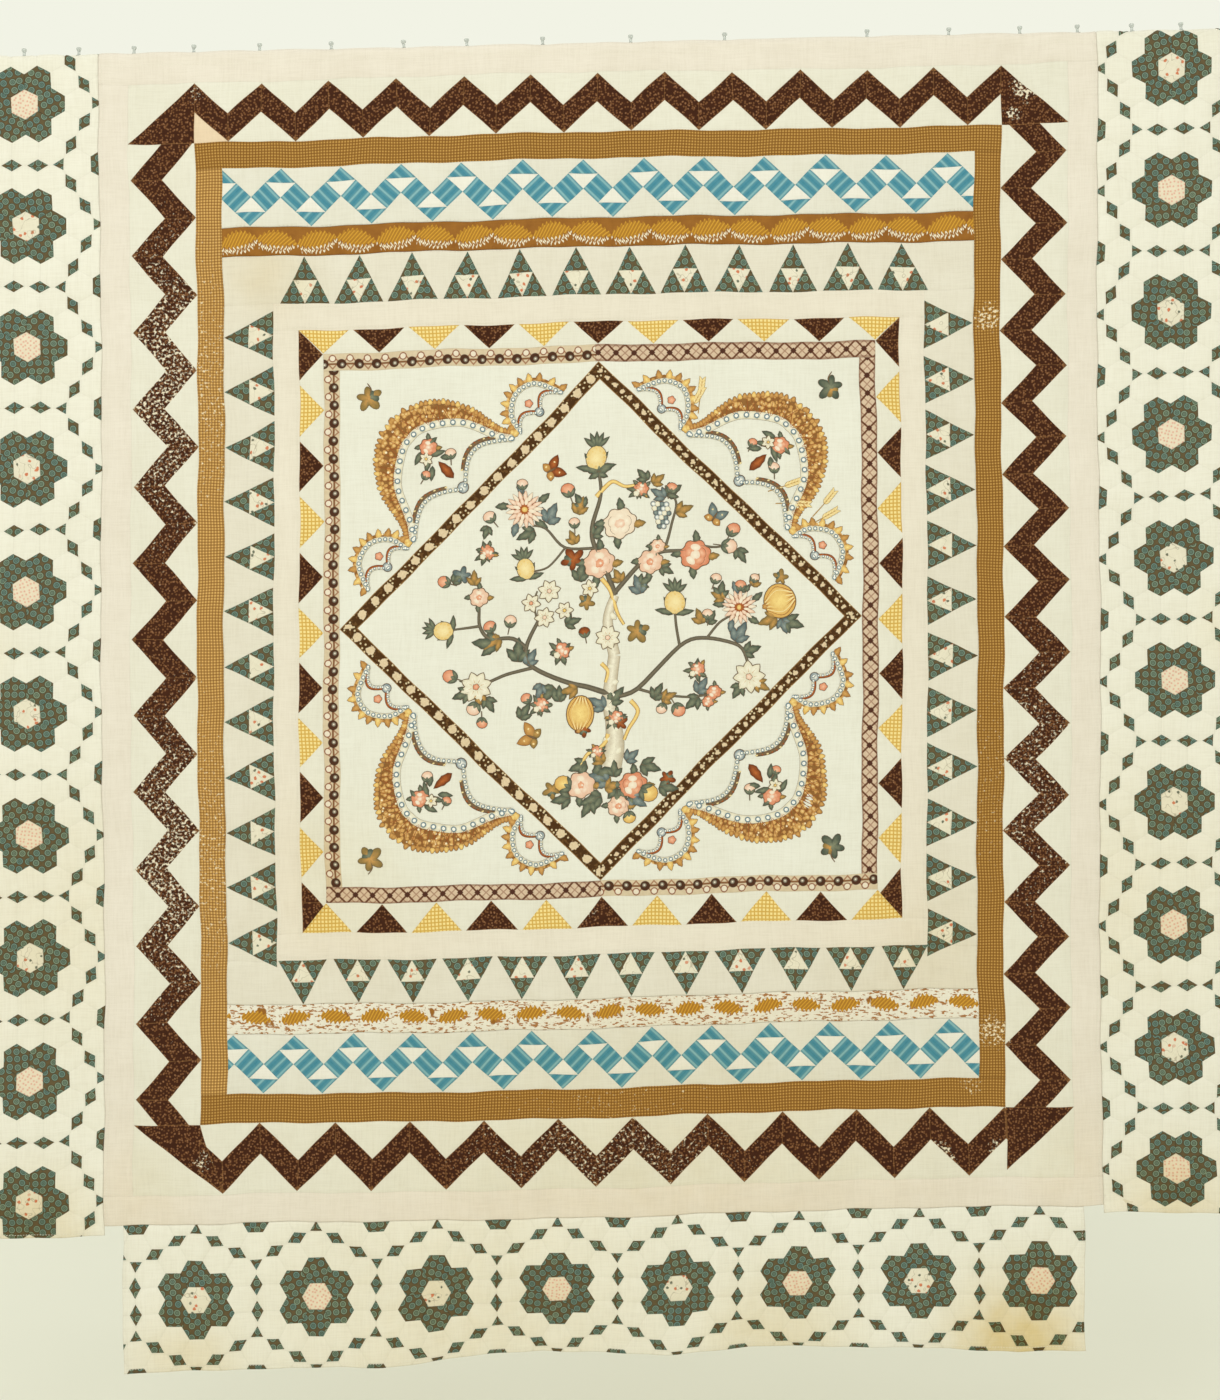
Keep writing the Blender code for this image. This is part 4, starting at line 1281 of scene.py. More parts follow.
def smooth_path(places, between):
    """A smooth curve through places, with steps between each two."""
    p = [np.array(q, float) for q in (places[0], *places, places[-1])]
    path = []
    for a, b, c, d in zip(p, p[1:], p[2:], p[3:]):
        for step in range(between):
            t = step / between
            path.append(0.5 * (2 * b + (c - a) * t + (2 * a - 5 * b + 4 * c - d) * t * t
                               + (3 * b - a - 3 * c + d) * t ** 3))
    return [tuple(q) for q in (*path, p[-1])]


def off(x, y, reach, turn):
    """The place at a reach from x, y, in a direction anticlockwise from the right."""
    return x + reach * cos(turn), y - reach * sin(turn)


def turned(x, y, turn, outline):
    return [(x + u * cos(turn) - v * sin(turn), y - u * sin(turn) - v * cos(turn)) for u, v in outline]


def disc(x, y, wide, tall=None, bumps=0, depth=0.0, turn=0.0, steps=None):
    """A round or scalloped outline."""
    steps, tall = steps or max(12, 5 * bumps), tall or wide
    made = []
    for k in range(steps):
        a = 2 * pi * k / steps
        r = 1 - depth * (1 - abs(cos(bumps * a / 2))) if bumps else 1
        made.append((r * wide * cos(a), r * tall * sin(a)))
    return turned(x, y, turn, made)


def blade(x, y, long, wide, turn, tooth=0.0):
    """A leaf from its stalk at x, y."""
    made = []
    for side in (1, -1):
        for k in range(7):
            s = k / 7 if side > 0 else 1 - k / 7
            made.append((s * long, side * wide / 2 * sin(pi * s ** 0.8) ** 0.8 * (1 - tooth * (k % 2))))
    return turned(x, y, turn, made)


def lobed(x, y, size, turn, lobes=5):
    """A lobed leaf, like a vine's, its stalk opposite turn."""
    return [off(x, y, size * (0.48 + 0.52 * abs(cos(lobes * a / 2)) ** 1.4) * (0.85 + 0.15 * cos(a)),
                a + turn) for a in (2 * pi * k / (lobes * 8) for k in range(lobes * 8))]


def leaf(work, x, y, long, turn, cloth="dark_leaf", wide=None, level=2.0):
    long = long * 1.12
    for share, spread in ((0.72, 42), (0.66, -44)):
        lobe = blade(x, y, long * share, (wide or long * 0.5) * 0.7, radians(turn + spread), 0.2)
        work.lay(lobe, cloth, level - 0.3)
    work.lay(blade(x, y, long, wide or long * 0.46, radians(turn), 0.2), cloth, level)
    work.stroke([(x, y), off(x, y, long * 0.8, radians(turn))], 0.8, 0.3, "ink", level + 0.4, 0)


def vine_leaf(work, x, y, size, turn, cloth="gold_leaf", level=2.0):
    work.lay(lobed(x, y, size, radians(turn)), cloth, level)
    work.lay(lobed(*off(x, y, size * 0.22, radians(turn + 60)), size * 0.55, radians(turn + 20), 3),
             "dark_leaf" if cloth != "dark_leaf" else "gold_leaf", level + 0.3, 0)
    for spread in (-50, 0, 50):
        vein = [(x, y), off(x, y, size * 0.7, radians(turn + spread))]
        work.stroke(vein, 0.7, 0.3, "dark_leaf", level + 0.5, 0)


def rose(work, x, y, size, outer="pink", inner="coral", turn=0.3, level=3.0):
    size = size * 1.14
    for spread in (0.5, 2.1, 3.6, 5.2):
        a = spread + turn * 3
        work.lay(blade(*off(x, y, size * 0.7, a), size * 0.85, size * 0.5, a + 0.3, 0.2),
                 "dark_leaf" if spread < 4 else "gold_leaf", level - 1.2, 0.7)
    work.lay(disc(x, y, size, size * 0.92, 7, 0.20, turn), outer, level, 1.3)
    for k in range(5):
        a = turn + k * 1.257
        work.lay(disc(*off(x, y, size * 0.42, a), size * 0.34, size * 0.26, 0, 0, a + 1.5),
                 "petal" if k % 2 else outer, level + 0.9, 0.5)
    work.lay(disc(x, y, size * 0.36, size * 0.32, 5, 0.2, turn), inner, level + 1.8, 0.5)
    work.lay(disc(x + size * 0.06, y, size * 0.15), "petal", level + 2.4, 0.4)


def aster(work, x, y, size, level=3.0):
    """A many-petalled flower with rust lines between its petals."""
    for k in range(5):
        a = 1.257 * k + 0.4
        work.lay(blade(*off(x, y, size * 0.8, a), size * 0.75, size * 0.4, a + 0.3, 0.2),
                 "blue_leaf" if k % 2 else "dark_leaf", level - 1.2, 0.7)
    work.lay(disc(x, y, size * 0.72), "rust", level - 0.2, 0)
    for ring_, count, start, long in ((0, 17, 0.42, 0.58), (1, 12, 0.16, 0.52)):
        for k in range(count):
            a = 2 * pi * (k + ring_ * 0.5) / count
            work.lay(blade(*off(x, y, size * start, a), size * long, size * 0.21, a),
                     "pink" if (k + ring_) % 3 else "petal", level + 0.3 + ring_ * 0.8, 0.45)
    work.lay(disc(x, y, size * 0.16), "gold", level + 2.0, 0.5)


def star_flower(work, x, y, size, petals=7, turn=0.2, heart="pink", level=3.0):
    for k in range(petals):
        a = turn + 2 * pi * k / petals
        work.lay(blade(*off(x, y, size * 0.15, a), size * 0.85, size * 0.56, a), "pale",
                 level + 0.06 * k, 1.3)
        work.stroke([off(x, y, size * 0.3, a), off(x, y, size * 0.7, a)], 0.8, 0.4, "ochre", level + 1.2, 0)
    work.lay(disc(x, y, size * 0.20, None, 5, 0.25), heart, level + 1.6, 0.6)


def posy(work, x, y, size=9.0, turn=0.0, level=3.0):
    """A coral rose and a small white flower on dark leaves."""
    for spread in (-150, -40, 60, 170):
        leaf(work, x, y, size * 1.7, spread + turn, "dark_leaf", size * 0.75, level - 1.0)
    rose(work, x + size * 0.25, y - size * 0.2, size, "coral", "pink", turn, level)
    beside = x - size * 0.45, y + size * 0.45
    work.lay(disc(*beside, size * 0.45, None, 5, 0.2), "pale", level + 2.6, 0.5)
    work.lay(disc(*beside, size * 0.14), "gold", level + 3.2, 0)


def bud(work, x, y, size, turn=90, heart="pink", level=3.0):
    a = radians(turn)
    size = size * 1.15
    work.stroke([(x, y), off(x, y, -size * 2.2, a)], 1.8, 1.2, "bark", level - 1, 0.4)
    work.lay(disc(x, y, size, size * 0.9), heart, level, 0.9)
    for spread in (-0.75, 0.0, 0.75):
        work.lay(blade(*off(x, y, -size * 1.1, a), size * 1.5, size * 0.62, a + spread), "dark_leaf",
                 level + 0.8, 0.3)


def pineapple(work, x, y, wide, tall, turn=90, level=3.0):
    a, centre = radians(turn), np.array((x, y))
    ahead, aside = np.array(off(0, 0, 1, a)), np.array((sin(a), cos(a)))
    base, crown = centre - ahead * tall * 0.48, centre + ahead * tall * 0.42
    for spread in (-80, -35, 35, 80):
        work.lay(blade(*base, tall * 0.85, tall * 0.28, radians(turn + spread), 0.15), "dark_leaf",
                 level - 0.8)
    for spread in (-52, -25, 0, 25, 52):
        work.lay(blade(*crown, tall * 0.68, tall * 0.2, radians(turn + spread)), "dark_leaf", level - 0.5)
    work.lay(disc(x, y, tall / 2, wide / 2, 0, 0, a, 20), "straw", level, 0.9, 0.8)
    for k in range(-2, 3):
        for m in range(-2, 3):
            u, v = k * tall * 0.17 + (m % 2) * tall * 0.085, m * wide * 0.18
            if (u / tall) ** 2 + (v / wide) ** 2 < 0.17:
                eye = centre + ahead * u + aside * v
                work.lay(disc(*eye, tall * 0.070, wide * 0.075, 0, 0, a, 6), "gold", level + 0.9, 0)


def gourd(work, x, y, wide, tall, turn=90, level=3.0):
    a, centre = radians(turn), np.array((x, y))
    ahead, aside = np.array(off(0, 0, 1, a)), np.array((sin(a), cos(a)))
    work.lay(disc(x, y, tall / 2, wide / 2, 0, 0, a, 22), "gold", level, 1.3, 0.8)
    for k in range(-4, 5):
        bend, ends = aside * wide * 0.108 * k, ahead * tall * 0.46
        rib = [centre + ends + bend * 0.35, centre + bend, centre - ends + bend * 0.35]
        work.stroke(rib, *((2.4, 1.6, "straw") if k % 2 else (1.1, 0.7, "rust")), level + 0.9, 0)
    work.lay(disc(*(centre - ahead * tall * 0.5), wide * 0.09, None, 5, 0.3), "ochre", level + 1.6, 0.4)


def butterfly(work, x, y, size, turn, cloth="ochre", under="blue_leaf"):
    for spread, long, wide, print_ in ((38, 1.0, 0.55, cloth), (-38, 1.0, 0.55, cloth),
                                       (110, 0.6, 0.45, under), (-110, 0.6, 0.45, under)):
        a = radians(turn + spread)
        work.lay(blade(x, y, size * long, size * wide, a), print_, 3.0, 0.6)
        work.lay(disc(*off(x, y, size * 0.55 * long, a), size * 0.10), "straw", 4.0, 0.3)
    body = radians(turn)
    work.lay(blade(*off(x, y, -size * 0.25, body), size * 0.7, size * 0.13, body), "ink", 4.5, 0)


# The tree itself: a mottled trunk and thin forked branches with a gold ribbon twisting up them.
tree = Applique()
for wide, thin, *places in (
        (34, 22, (14, 218), (22, 180), (20, 150)), (22, 17, (20, 150), (13, 107), (20, 50)),
        (17, 12, (20, 50), (10, 0), (22, -38))):
    tree.stroke(places, wide, thin, "dusk", 0.6, 0.7)
for wide, thin, *places in (
        (9, 7, (22, -38), (10, -70)), (8, 4, (10, -70), (-10, -110), (-14, -140), (0, -190), (-2, -225)),
        (7, 4, (20, -40), (50, -75), (75, -95), (94, -101), (124, -102), (150, -110)),
        (4, 2.5, (94, -101), (104, -140), (112, -175), (96, -200)),
        (3.5, 2, (150, -110), (178, -108), (200, -118)),
        (8, 5, (13, 107), (-18, 98), (-49, 90), (-100, 67), (-111, 36), (-93, -2)),
        (6, 4, (-111, 36), (-131, 22), (-165, 20), (-181, 0), (-183, -25)), (4, 2.5, (-181, 0), (-220, 5)),
        (5, 3, (-100, 67), (-140, 74), (-180, 88), (-210, 80)),
        (4, 3, (-10, -110), (-55, -113), (-83, -141), (-103, -146)),
        (3, 2, (-55, -113), (-80, -84), (-110, -76)),
        (7, 4, (16, 112), (55, 102), (117, 41), (158, 30), (206, 41), (222, 70)),
        (4, 3, (117, 41), (112, 10), (110, -12)), (3.5, 2.5, (158, 30), (176, 6), (200, -8)),
        (3, 2, (200, -8), (232, -18)), (4, 2.5, (55, 102), (92, 112), (130, 118), (166, 114)),
        (3, 2, (-93, -2), (-100, -30), (-96, -48))):
    tree.stroke(places, wide, thin)
for places in (
        ((-7, -186), (8, -200), (20, -207), (36, -200), (51, -201)),
        ((1, -65), (14, -48), (20, -30), (26, -10), (34, 5)), ((0, 62), (10, 74), (6, 90)),
        ((45, 119), (56, 132), (54, 144), (44, 160), (36, 177)),
        ((12, 168), (8, 180), (-2, 190), (-16, 196), (-24, 206), (-29, 214))):
    tree.stroke(places, 6.0, 4.0, "gold", 1.6, 0.8)
for x, y in ((24, 160), (12, 130), (26, 194), (19, 90), (16, 66), (10, 176), (12, 24), (18, -8), (20, 110)):
    tree.lay(disc(x, y, 7, 4.4, 5, 0.2, x), "pale", 1.0, 0.5)

for motif, places in (
        (pineapple, ((-6, -244, 30, 36, 90), (-114, -81, 26, 31, 100), (110, -24, 30, 34, 88))),
        (gourd, ((266, -24, 50, 46, 20), (-30, 137, 41, 52, 85))), (pineapple, ((-235, 6, 27, 30, 170),)),
        (butterfly, ((-76, -228, 26, 25, "rust", "ochre"), (168, -151, 24, 60, "blue_leaf", "ochre"),
                     (-99, 170, 27, 160, "ochre", "gold_leaf"))),
        (leaf, (
            (-81, -150, 30, 62, "blue_leaf"), (-100, -138, 26, 205), (-35, -163, 24, 70, "gold_leaf"),
            (-26, -172, 22, 120), (98, -186, 24, 35), (96, -182, 22, 150, "blue_leaf"),
            (112, -160, 24, 20, "gold_leaf"), (70, -208, 20, 130), (78, -202, 20, 40, "gold_leaf"),
            (-33, -62, 26, 80), (60, -40, 26, 110, "blue_leaf"), (56, -52, 22, 30), (205, -104, 22, 300),
            (178, -32, 22, 80), (184, -28, 20, 150, "gold_leaf"), (226, -48, 18, 60, "gold_leaf"),
            (216, -40, 16, 110), (-123, 56, 32, 88), (-110, 62, 24, 60, "blue_leaf"), (-154, 30, 34, 170),
            (-150, 20, 26, 215, "gold_leaf"), (200, 34, 30, 60, "blue_leaf"), (214, 52, 24, 20),
            (-35, 100, 24, 190, "gold_leaf"), (-70, 96, 26, 230), (-88, 92, 22, 250, "blue_leaf"),
            (-120, 142, 24, 60), (80, 118, 24, 60), (92, 120, 22, 20, "gold_leaf"), (148, 118, 24, 220),
            (146, 112, 24, 60, "blue_leaf"), (14, 122, 28, 50), (8, 128, 26, 150, "blue_leaf"),
            (-6, -222, 26, 20), (2, -222, 26, 160), (262, 0, 26, 200, "gold_leaf"), (274, 6, 28, 340),
            (270, 2, 22, 290, "blue_leaf"), (-196, 98, 24, 200), (-180, 100, 22, 260, "gold_leaf"),
            (-172, 108, 22, 300), (-168, -146, 18, 250), (150, 8, 22, 110, "gold_leaf"), (158, 8, 20, 60),
            (-52, 2, 22, 20), (-190, -60, 20, 90, "gold_leaf"), (-222, -66, 18, 40),
            (30, -58, 20, 120, "gold_leaf"), (90, -78, 20, 330), (-62, 118, 22, 90),
            (232, 96, 22, 330, "gold_leaf"), (210, 100, 22, 240), (-40, -118, 20, 110, "gold_leaf"),
            (-14, -128, 22, 40), (-20, 212, 26, 200), (60, 214, 28, 340), (-46, 262, 26, 190),
            (88, 248, 26, 350), (-10, 232, 32, 20), (12, 240, 30, 160, "blue_leaf"), (24, 250, 28, 270),
            (0, 262, 30, 200), (42, 262, 28, 330, "blue_leaf"), (20, 232, 24, 90), (-14, 268, 26, 240),
            (6, 250, 24, 20, "gold_leaf"), (6, 212, 22, 140, "gold_leaf"), (38, 208, 22, 40, "blue_leaf"))),
        (vine_leaf, (
            (-42, -93, 21, 120, "rust"), (-207, -75, 16, 150, "blue_leaf"), (53, 15, 21, 300),
            (-22, -30, 15, 60), (268, -58, 13, 80), (-24, 160, 14, 200, "rust"), (-72, 250, 15, 200),
            (98, 236, 14, 340, "rust"), (30, 152, 13, 30, "rust"))),
        (aster, ((-114, -171, 29), (206, -17, 26))),
        (star_flower, (
            (-78, -48, 17, 7, 0.2), (-104, -30, 14, 6, 0.9, "coral"), (-83, -8, 15, 7, 0.5),
            (-54, -18, 13, 6, 0.1, "gold"), (-186, 91, 23, 8, 0.3, "coral"), (223, 88, 24, 8, 0.1),
            (10, 24, 18, 8, 0.4), (-16, -51, 13, 6, 0.7, "gold"))),
        (rose, (
            (27, -145, 22, "petal", "pink"), (-4, -88, 21), (141, -96, 21, "coral", "petal"),
            (74, -86, 17), (84, -109, 10), (-183, -42, 13), (-30, 244, 19),
            (48, 245, 19, "coral", "petal"), (26, 276, 15), (170, 111, 10, "coral", "pink"),
            (162, 125, 8, "coral", "pink"))),
        (posy, (
            (58, -193, 10, 0), (-173, -106, 10, 40), (-61, 44, 11, 80), (142, 79, 10, 120),
            (-92, 124, 10, 160), (22, 146, 10, 60), (-6, 196, 8, 200))),
        (bud, (
            (-166, -160, 8, 130), (-117, -209, 7, 90), (-49, -199, 9, 110, "coral"), (-40, -150, 7, 90),
            (198, -133, 9, 60, "coral"), (193, -108, 10, 350), (-235, -68, 8, 160, "coral"),
            (-166, 2, 8, 120, "coral"), (-135, -4, 8, 80), (208, -50, 7, 90, "coral"), (229, -60, 6, 60),
            (-224, 74, 9, 160, "coral"), (-190, 124, 9, 240), (-178, 145, 7, 270, "coral"),
            (-24, 14, 7, 100, "rust"), (158, -6, 7, 90), (117, 137, 9, 300, "coral"), (92, 133, 7, 250),
            (-112, 112, 7, 130, "coral"), (43, 294, 8, 280, "gold"), (-56, 241, 11, 150, "gold"),
            (72, 258, 12, 330, "gold"), (106, -197, 7, 70, "coral"), (172, -60, 7, 70)))):
    for place in places:
        motif(tree, *place)
for row in range(6):
    for k in range(4 - abs(row - 1) // 2):
        grape = ("bead", "pale", "blue_leaf")[(row + k) % 3]
        tree.lay(disc(78 + 6.5 * k + row * 1.6, -172 + 6.6 * row, 3.9), grape, 2.5 + 0.1 * k, 0.6)
applique = tree.finish("tree_of_life_applique")
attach(applique, "quilt")

# The four corners: a beaded festoon round each corner of the square, with feathery ochre fringe
# outside it, inner garlands, half-rounds at the sides, a curled corner leaf and a posy.
corner_work, bead_lines = Applique(), []


def mirrored(places):
    return [*places, *[(n, -t) for n, t in places[::-1] if t]]


side_x, side_y = centre_half * 500, tall_half * 500
for sx, sy in ((-1, -1), (1, -1), (1, 1), (-1, 1)):
    out = np.array((sx * side_y, sy * side_x)) / hypot(side_x, side_y)
    along_ = np.array((-out[1], out[0]))
    middle = np.array((sx * side_x, sy * side_y))

    def spot(n, t):
        return tuple(middle + out * n + along_ * t)

    def spots(places):
        return [spot(n, t) for n, t in places]

    def heading(n0, t0, n1, t1):
        a, b = np.array(spot(n0, t0)), np.array(spot(n1, t1))
        return atan2(-(b[1] - a[1]), b[0] - a[0])

    festoon = np.array(smooth_path(mirrored([
        (16, -103), (36, -90), (60, -80), (87, -67), (108, -45), (124, -18), (126, 0)]), 8))
    away = np.gradient(festoon, axis=0)
    away = np.column_stack([-away[:, 1], away[:, 0]]) / np.linalg.norm(away, axis=1, keepdims=True)
    away *= np.sign(np.sum(away * (festoon - np.array((50, 0))), axis=1))[:, None]
    travelled = np.concatenate([[0], np.cumsum(np.linalg.norm(np.diff(festoon, axis=0), axis=1))])
    for k in range(19):
        reach = (k + 0.5) / 19 * travelled[-1]
        n, t = (np.interp(reach, travelled, festoon[:, q]) for q in (0, 1))
        wn, wt = (np.interp(reach, travelled, away[:, q]) for q in (0, 1))
        long = 12 + 24 * sin(pi * (k + 0.5) / 19) ** 1.3
        turn = heading(n, t, n + wn * 10, t + wt * 10)
        for spread in (-0.55, 0.0, 0.55):
            tip = (cos(turn + spread) * long * 0.9, -sin(turn + spread) * long * 0.9)
            corner_work.stroke([spot(n, t), tuple(np.array(spot(n, t)) + tip)], 1.3, 0.5, "rust", 1.9, 0)
    widths = 9 + 29 * np.sin(pi * travelled / travelled[-1]) ** 1.7
    fringe = festoon + away * (widths * (1 + 0.05 * np.sin(travelled * 0.7)))[:, None]
    corner_work.rows(((spots(festoon), 0, 0.3), (spots(fringe), 0, 0.7)), "lace")
    for reach in np.arange(0, travelled[-1], 5.6):
        place = [np.interp(reach, travelled, fringe[:, q]) for q in (0, 1)]
        ahead = [np.interp(reach, travelled, away[:, q]) for q in (0, 1)]
        turn = heading(*place, place[0] + ahead[0], place[1] + ahead[1])
        corner_work.lay(disc(*spot(*place), 4.6, 3.8, 3, 0.25, turn),
                        "ochre" if int(reach / 5.6) % 3 else "gold", 1.3, 0.6)
    corner_work.stroke(spots(festoon[::4]), 11.5, 11.5, "pale", 2.2, 0.7)
    bead_lines.append((spots(festoon), 15.0, 4.3))
    for way in (-1, 1):
        garland = [(17 + 27 * sin(pi * s / 14), way * (4 + 96 * s / 14)) for s in range(15)]
        bead_lines.append((spots(garland), 7.6, 2.9))
        corner_work.stroke([spot(n + 6, t) for n, t in garland[2:13]], 6.5, 6.5, "ink", 1.2, 0.5)
        for n, t in garland[2:13]:
            corner_work.lay(disc(*spot(n + 7.5, t), 2.6, 1.5, 0, 0, n), "rust" if int(n) % 2 else "straw",
                            1.8, 0)
        corner_work.stroke(spots(garland), 6.5, 6.5, "pale", 1.4, 0.5)
        round_ = smooth_path([(n, way * t) for n, t in (
            (15, 120), (40, 128), (58, 155), (48, 186), (10, 204))], 6)
        for k, (n, t) in enumerate(round_[1:-1:2]):
            turn = heading(22, way * 161, n, t)
            corner_work.lay(blade(*spot(n, t), 17, 10, turn, 0.2), "ochre" if k % 2 else "gold", 1.2, 0.7)
        inward = np.array(round_)
        rays = inward - np.array((22, way * 161))
        rays = rays / np.linalg.norm(rays, axis=1, keepdims=True)
        corner_work.rows(((spots(inward), 0, 0.3), (spots(inward + rays * 9), 0, 0.7)), "lace")
        corner_work.stroke(spots(round_), 8.0, 8.0, "pale", 2.0, 0.7)
        bead_lines.append((spots(round_), 8.4, 3.2))
        for t0, t1 in ((118, 159), (161, 202)):
            small = [(12 + 15 * sin(pi * s / 8), way * (t0 + (t1 - t0) * s / 8)) for s in range(9)]
            corner_work.stroke([spot(n + 3, t) for n, t in small], 4.0, 4.0, "rust", 1.2, 0.5)
            corner_work.stroke(spots(small), 5.0, 5.0, "pale", 1.4, 0.5)
            bead_lines.append((spots(small), 6.2, 2.2))
        corner_work.lay(disc(*spot(14, way * 160), 6.5), "bead", 3.0, 1.0)
        corner_work.lay(disc(*spot(34, way * 158), 6.0, None, 5, 0.25), "coral", 3.0, 0.8)
    corner_work.lay(disc(*spot(17, 0), 8.0), "bead", 3.0, 1.2)
    corner_work.lay(blade(*spot(38, 0), 34, 14, heading(38, 0, 80, 4), 0.15), "rust", 2.0, 0.8)
    for place, long, ahead in (
            ((88, 0), 26, (70, 30)), ((88, 0), 26, (70, -30)), ((100, 6), 22, (96, 40)),
            ((100, -4), 22, (90, -40)), ((74, 10), 22, (52, 30)), ((74, -8), 22, (56, -30))):
        corner_work.lay(blade(*spot(*place), long, 9, heading(*place, *ahead), 0.12), "dark_leaf", 2.0, 0.7)
    rose(corner_work, *spot(97, 8), 12, "coral", "pink")
    star_flower(corner_work, *spot(88, -7), 10, 6, 0.4, "gold", 4.0)
    bud(corner_work, *spot(66, 24), 7, 90)
    bud(corner_work, *spot(72, -24), 6, 60, "coral")
    leaf_x, leaf_y = sx * 348, sy * 346
    turn = degrees(atan2(sy, -sx))
    vine_leaf(corner_work, leaf_x, leaf_y, 23, turn, "dark_leaf" if sx > 0 else "gold_leaf")
    stalk = [(leaf_x + sx * n, leaf_y + sy * t) for n, t in ((0, 0), (-4, 12), (2, 22))]
    corner_work.stroke(stalk, 2.4, 1.4, "ink", 1.5, 0)
for x, y, turn in ((130, -300, 62), (148, -308, 84), (250, -188, 18), (262, -170, 358), (310, -135, 30),
                   (318, -150, 50)):
    ahead, foot = np.array(off(0, 0, 1, radians(turn))), np.array((x, y))
    corner_work.stroke([foot, foot + ahead * 48], 1.6, 1.0, "gold_leaf", 1.5, 0)
    for k in range(5):
        for way in (-1, 1):
            grain = blade(*(foot + ahead * (26 + 5 * k)), 10, 3.6, radians(turn + 28 * way))
            corner_work.lay(grain, "straw", 1.8, 0.4)
festoons = corner_work.finish("corner_festoons")
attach(festoons, "quilt")

# ---- Beads of the festoons
# Round printed spots, white at heart and grey-blue at the rim, set edge to edge along every festoon:
# one pattern strung along its line by Geometry Nodes.
string_tree, node, close = tree_with(
    "strung_along_a_line", ("Item", "Object"), ("Gap", "Float"), ("Finish", "Material"))
path = node("GeometryNodeResampleCurve", {
    "Curve": node("GeometryNodeMeshToCurve", {"Mesh": "Base"}).outputs[0], "Length": "Gap"}, mode="LENGTH")
ahead = node("FunctionNodeAlignRotationToVector", {"Vector": node("GeometryNodeInputTangent").outputs[0]},
             axis="X", pivot_axis="Z")
item = node("GeometryNodeObjectInfo", {"Object": "Item"})
close(node("GeometryNodeInstanceOnPoints", {
    "Points": path.outputs[0], "Instance": item.outputs["Geometry"],
    "Rotation": ahead.outputs[0]}).outputs[0])


def string_up(name, runs, item, gap, finish):
    """Strings the item along runs of flat points and hangs the result with the cloth."""
    marks, lines = [], []
    for run in runs:
        lines += [(len(marks) + k, len(marks) + k + 1) for k in range(len(run) - 1)]
        marks += run
    mesh = grow(name, string_tree, marks, lines, Item=item, Gap=gap, Finish=finish)
    flat = np.empty(len(mesh.vertices) * 3, np.float32)
    mesh.vertices.foreach_get("co", flat)
    mesh.vertices.foreach_set("co", hang(flat).astype(np.float32).ravel())
    mesh.shade_smooth()
    return mesh


def bead_item(radius):
    """A printed spot with a slight dome."""
    rings = [(1.0, 0.0, -0.7), (0.86, 0.12, -0.3), (0.62, 0.22, -0.2), (0.52, 0.26, 1.0)]
    verts = [(radius * r * cos(a), radius * r * sin(a), h / 1000) for r, h, _ in rings
             for a in np.linspace(0, 2 * pi, 12, endpoint=False)] + [(0, 0, 0.0003)]
    faces = [(q * 12 + k, q * 12 + (k + 1) % 12, q * 12 + 12 + (k + 1) % 12, q * 12 + 12 + k)
             for q in range(3) for k in range(12)] + [(36 + k, 36 + (k + 1) % 12, 48) for k in range(12)]
    shade = [s for _, _, s in rings for _ in range(12)] + [1.0]
    return add("bead_pattern", shaped("bead", verts, faces, shade=shade))


bead_meshes = []
for gap, radius in sorted({(gap, radius) for _, gap, radius in bead_lines}):
    runs = [[(x / 1000, mid_y - y / 1000, 0.00185 + seam_depth) for x, y in run]
            for run, g, _ in bead_lines if g == gap]
    bead_meshes.append(string_up(f"beads_{len(bead_meshes)}", runs, bead_item(radius / 1000), gap / 1000,
                                 prints["bead"]))
joined = bmesh.new()
for mesh in bead_meshes:
    joined.from_mesh(mesh)
bead_mesh = bead_meshes[0].copy()
joined.to_mesh(bead_mesh)
joined.free()
beads = add("festoon_beads", bead_mesh)
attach(beads, "quilt")

# ---- Running stitches
# White cotton hand stitches, about 4 mm apart, inside the hem of the body, the wings and the drop,
# and along both sides of the plain border: one stitch strung along its lines by Geometry Nodes.
thread_paint = Paint("white_thread", 0.85, Sheen_Weight=0.1)
twist = (thread_paint.x + thread_paint.z).wave(0.0008)
thread = thread_paint.finish(thread_paint.mix(twist * 0.5, (238, 234, 220), (206, 198, 176)), twist, 0.00006)


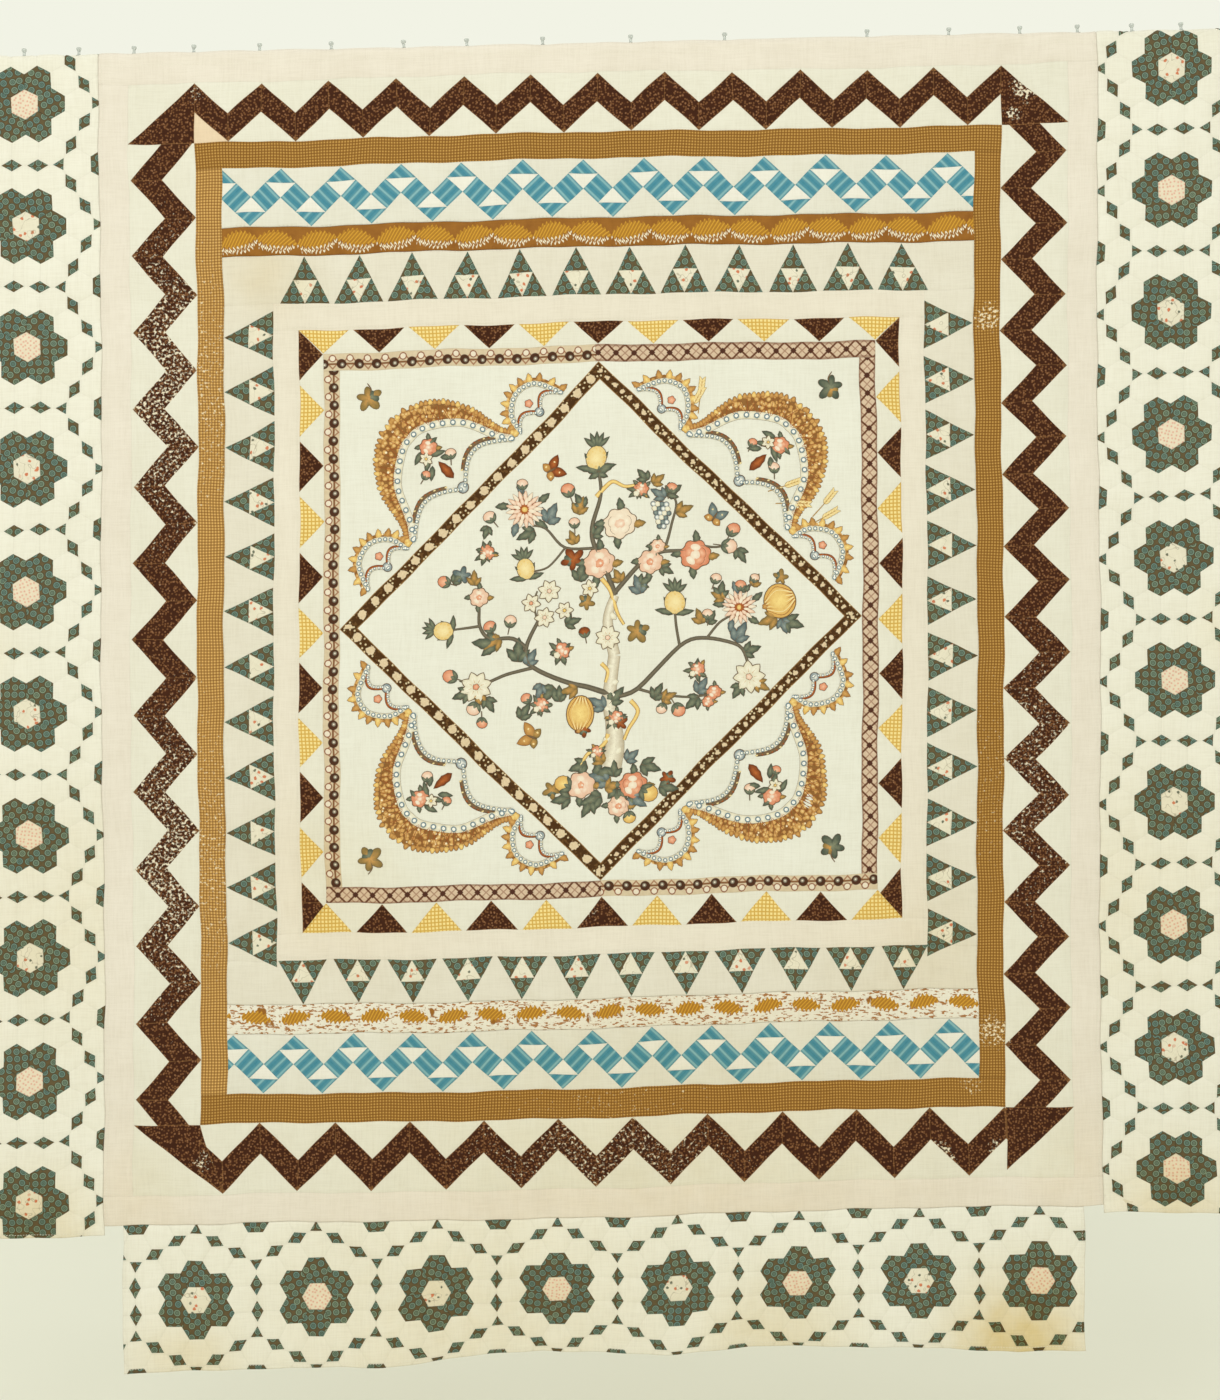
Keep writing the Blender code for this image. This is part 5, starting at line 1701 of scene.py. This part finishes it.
def stitch_item():
    verts = [(x * 0.0011, y * 0.00030, z * 0.00026) for x, z in ((-1, 0), (-0.6, 1), (0.6, 1), (1, 0))
             for y in (-1, 0, 1)]
    verts = [(x, y, z if abs(y) < 1e-6 else 0.0) for x, y, z in verts]
    faces = [(r * 3 + c + 1, r * 3 + c + 4, r * 3 + c + 3, r * 3 + c) for r in range(3) for c in range(2)]
    return add("stitch_pattern", shaped("stitch", verts, faces))


def seam_run(x0, y0, x1, y1):
    lift = seam_depth + 0.00008
    return even_steps((x0, y0, lift), (x1, y1, lift), max(2, round(hypot(x1 - x0, y1 - y0) / 0.02)))


def frame_runs(half, top, bottom, away):
    left, right, top, bottom = -half + away, half - away, top - away, bottom + away
    return [seam_run(left, top, right, top), seam_run(left, bottom, right, bottom),
            seam_run(left, top, left, bottom), seam_run(right, top, right, bottom)]


below_fold = -0.014
in_from_edge = 0.005
body_in, drop_in = body_half - in_from_edge, drop_half - in_from_edge
body_runs = [seam_run(-body_in, below_fold, body_in, below_fold),
             seam_run(-body_in, below_fold, -body_in, body_bottom),
             seam_run(body_in, below_fold, body_in, body_bottom)]
wing_runs = [seam_run(left + in_from_edge, bottom + in_from_edge, right - in_from_edge, bottom + in_from_edge)
             for left, right, bottom in wings.values()]
wing_runs += [seam_run(place, below_fold, place, bottom + in_from_edge) for place, bottom in (
    (wings["left"][0] + in_from_edge, wings["left"][2]),
    (wings["right"][1] - in_from_edge, wings["right"][2]))]
plain_runs = frame_runs(*plain_size, in_from_edge) + frame_runs(*tooth_size, -0.004)
drop_high, drop_low = -drop_top - 0.006, drop_bottom + 0.006
drop_runs = [seam_run(-drop_in, drop_low, drop_in, drop_low),
             seam_run(-drop_in, drop_high, -drop_in, drop_low),
             seam_run(drop_in, drop_high, drop_in, drop_low)]
for name, runs, body in (("hem_stitches", body_runs + wing_runs + plain_runs, "quilt"),
                         ("drop_stitches", drop_runs, "drop")):
    stitches = add(name, string_up(name, runs, stitch_item(), 0.0042, thread))
    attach(stitches, body)
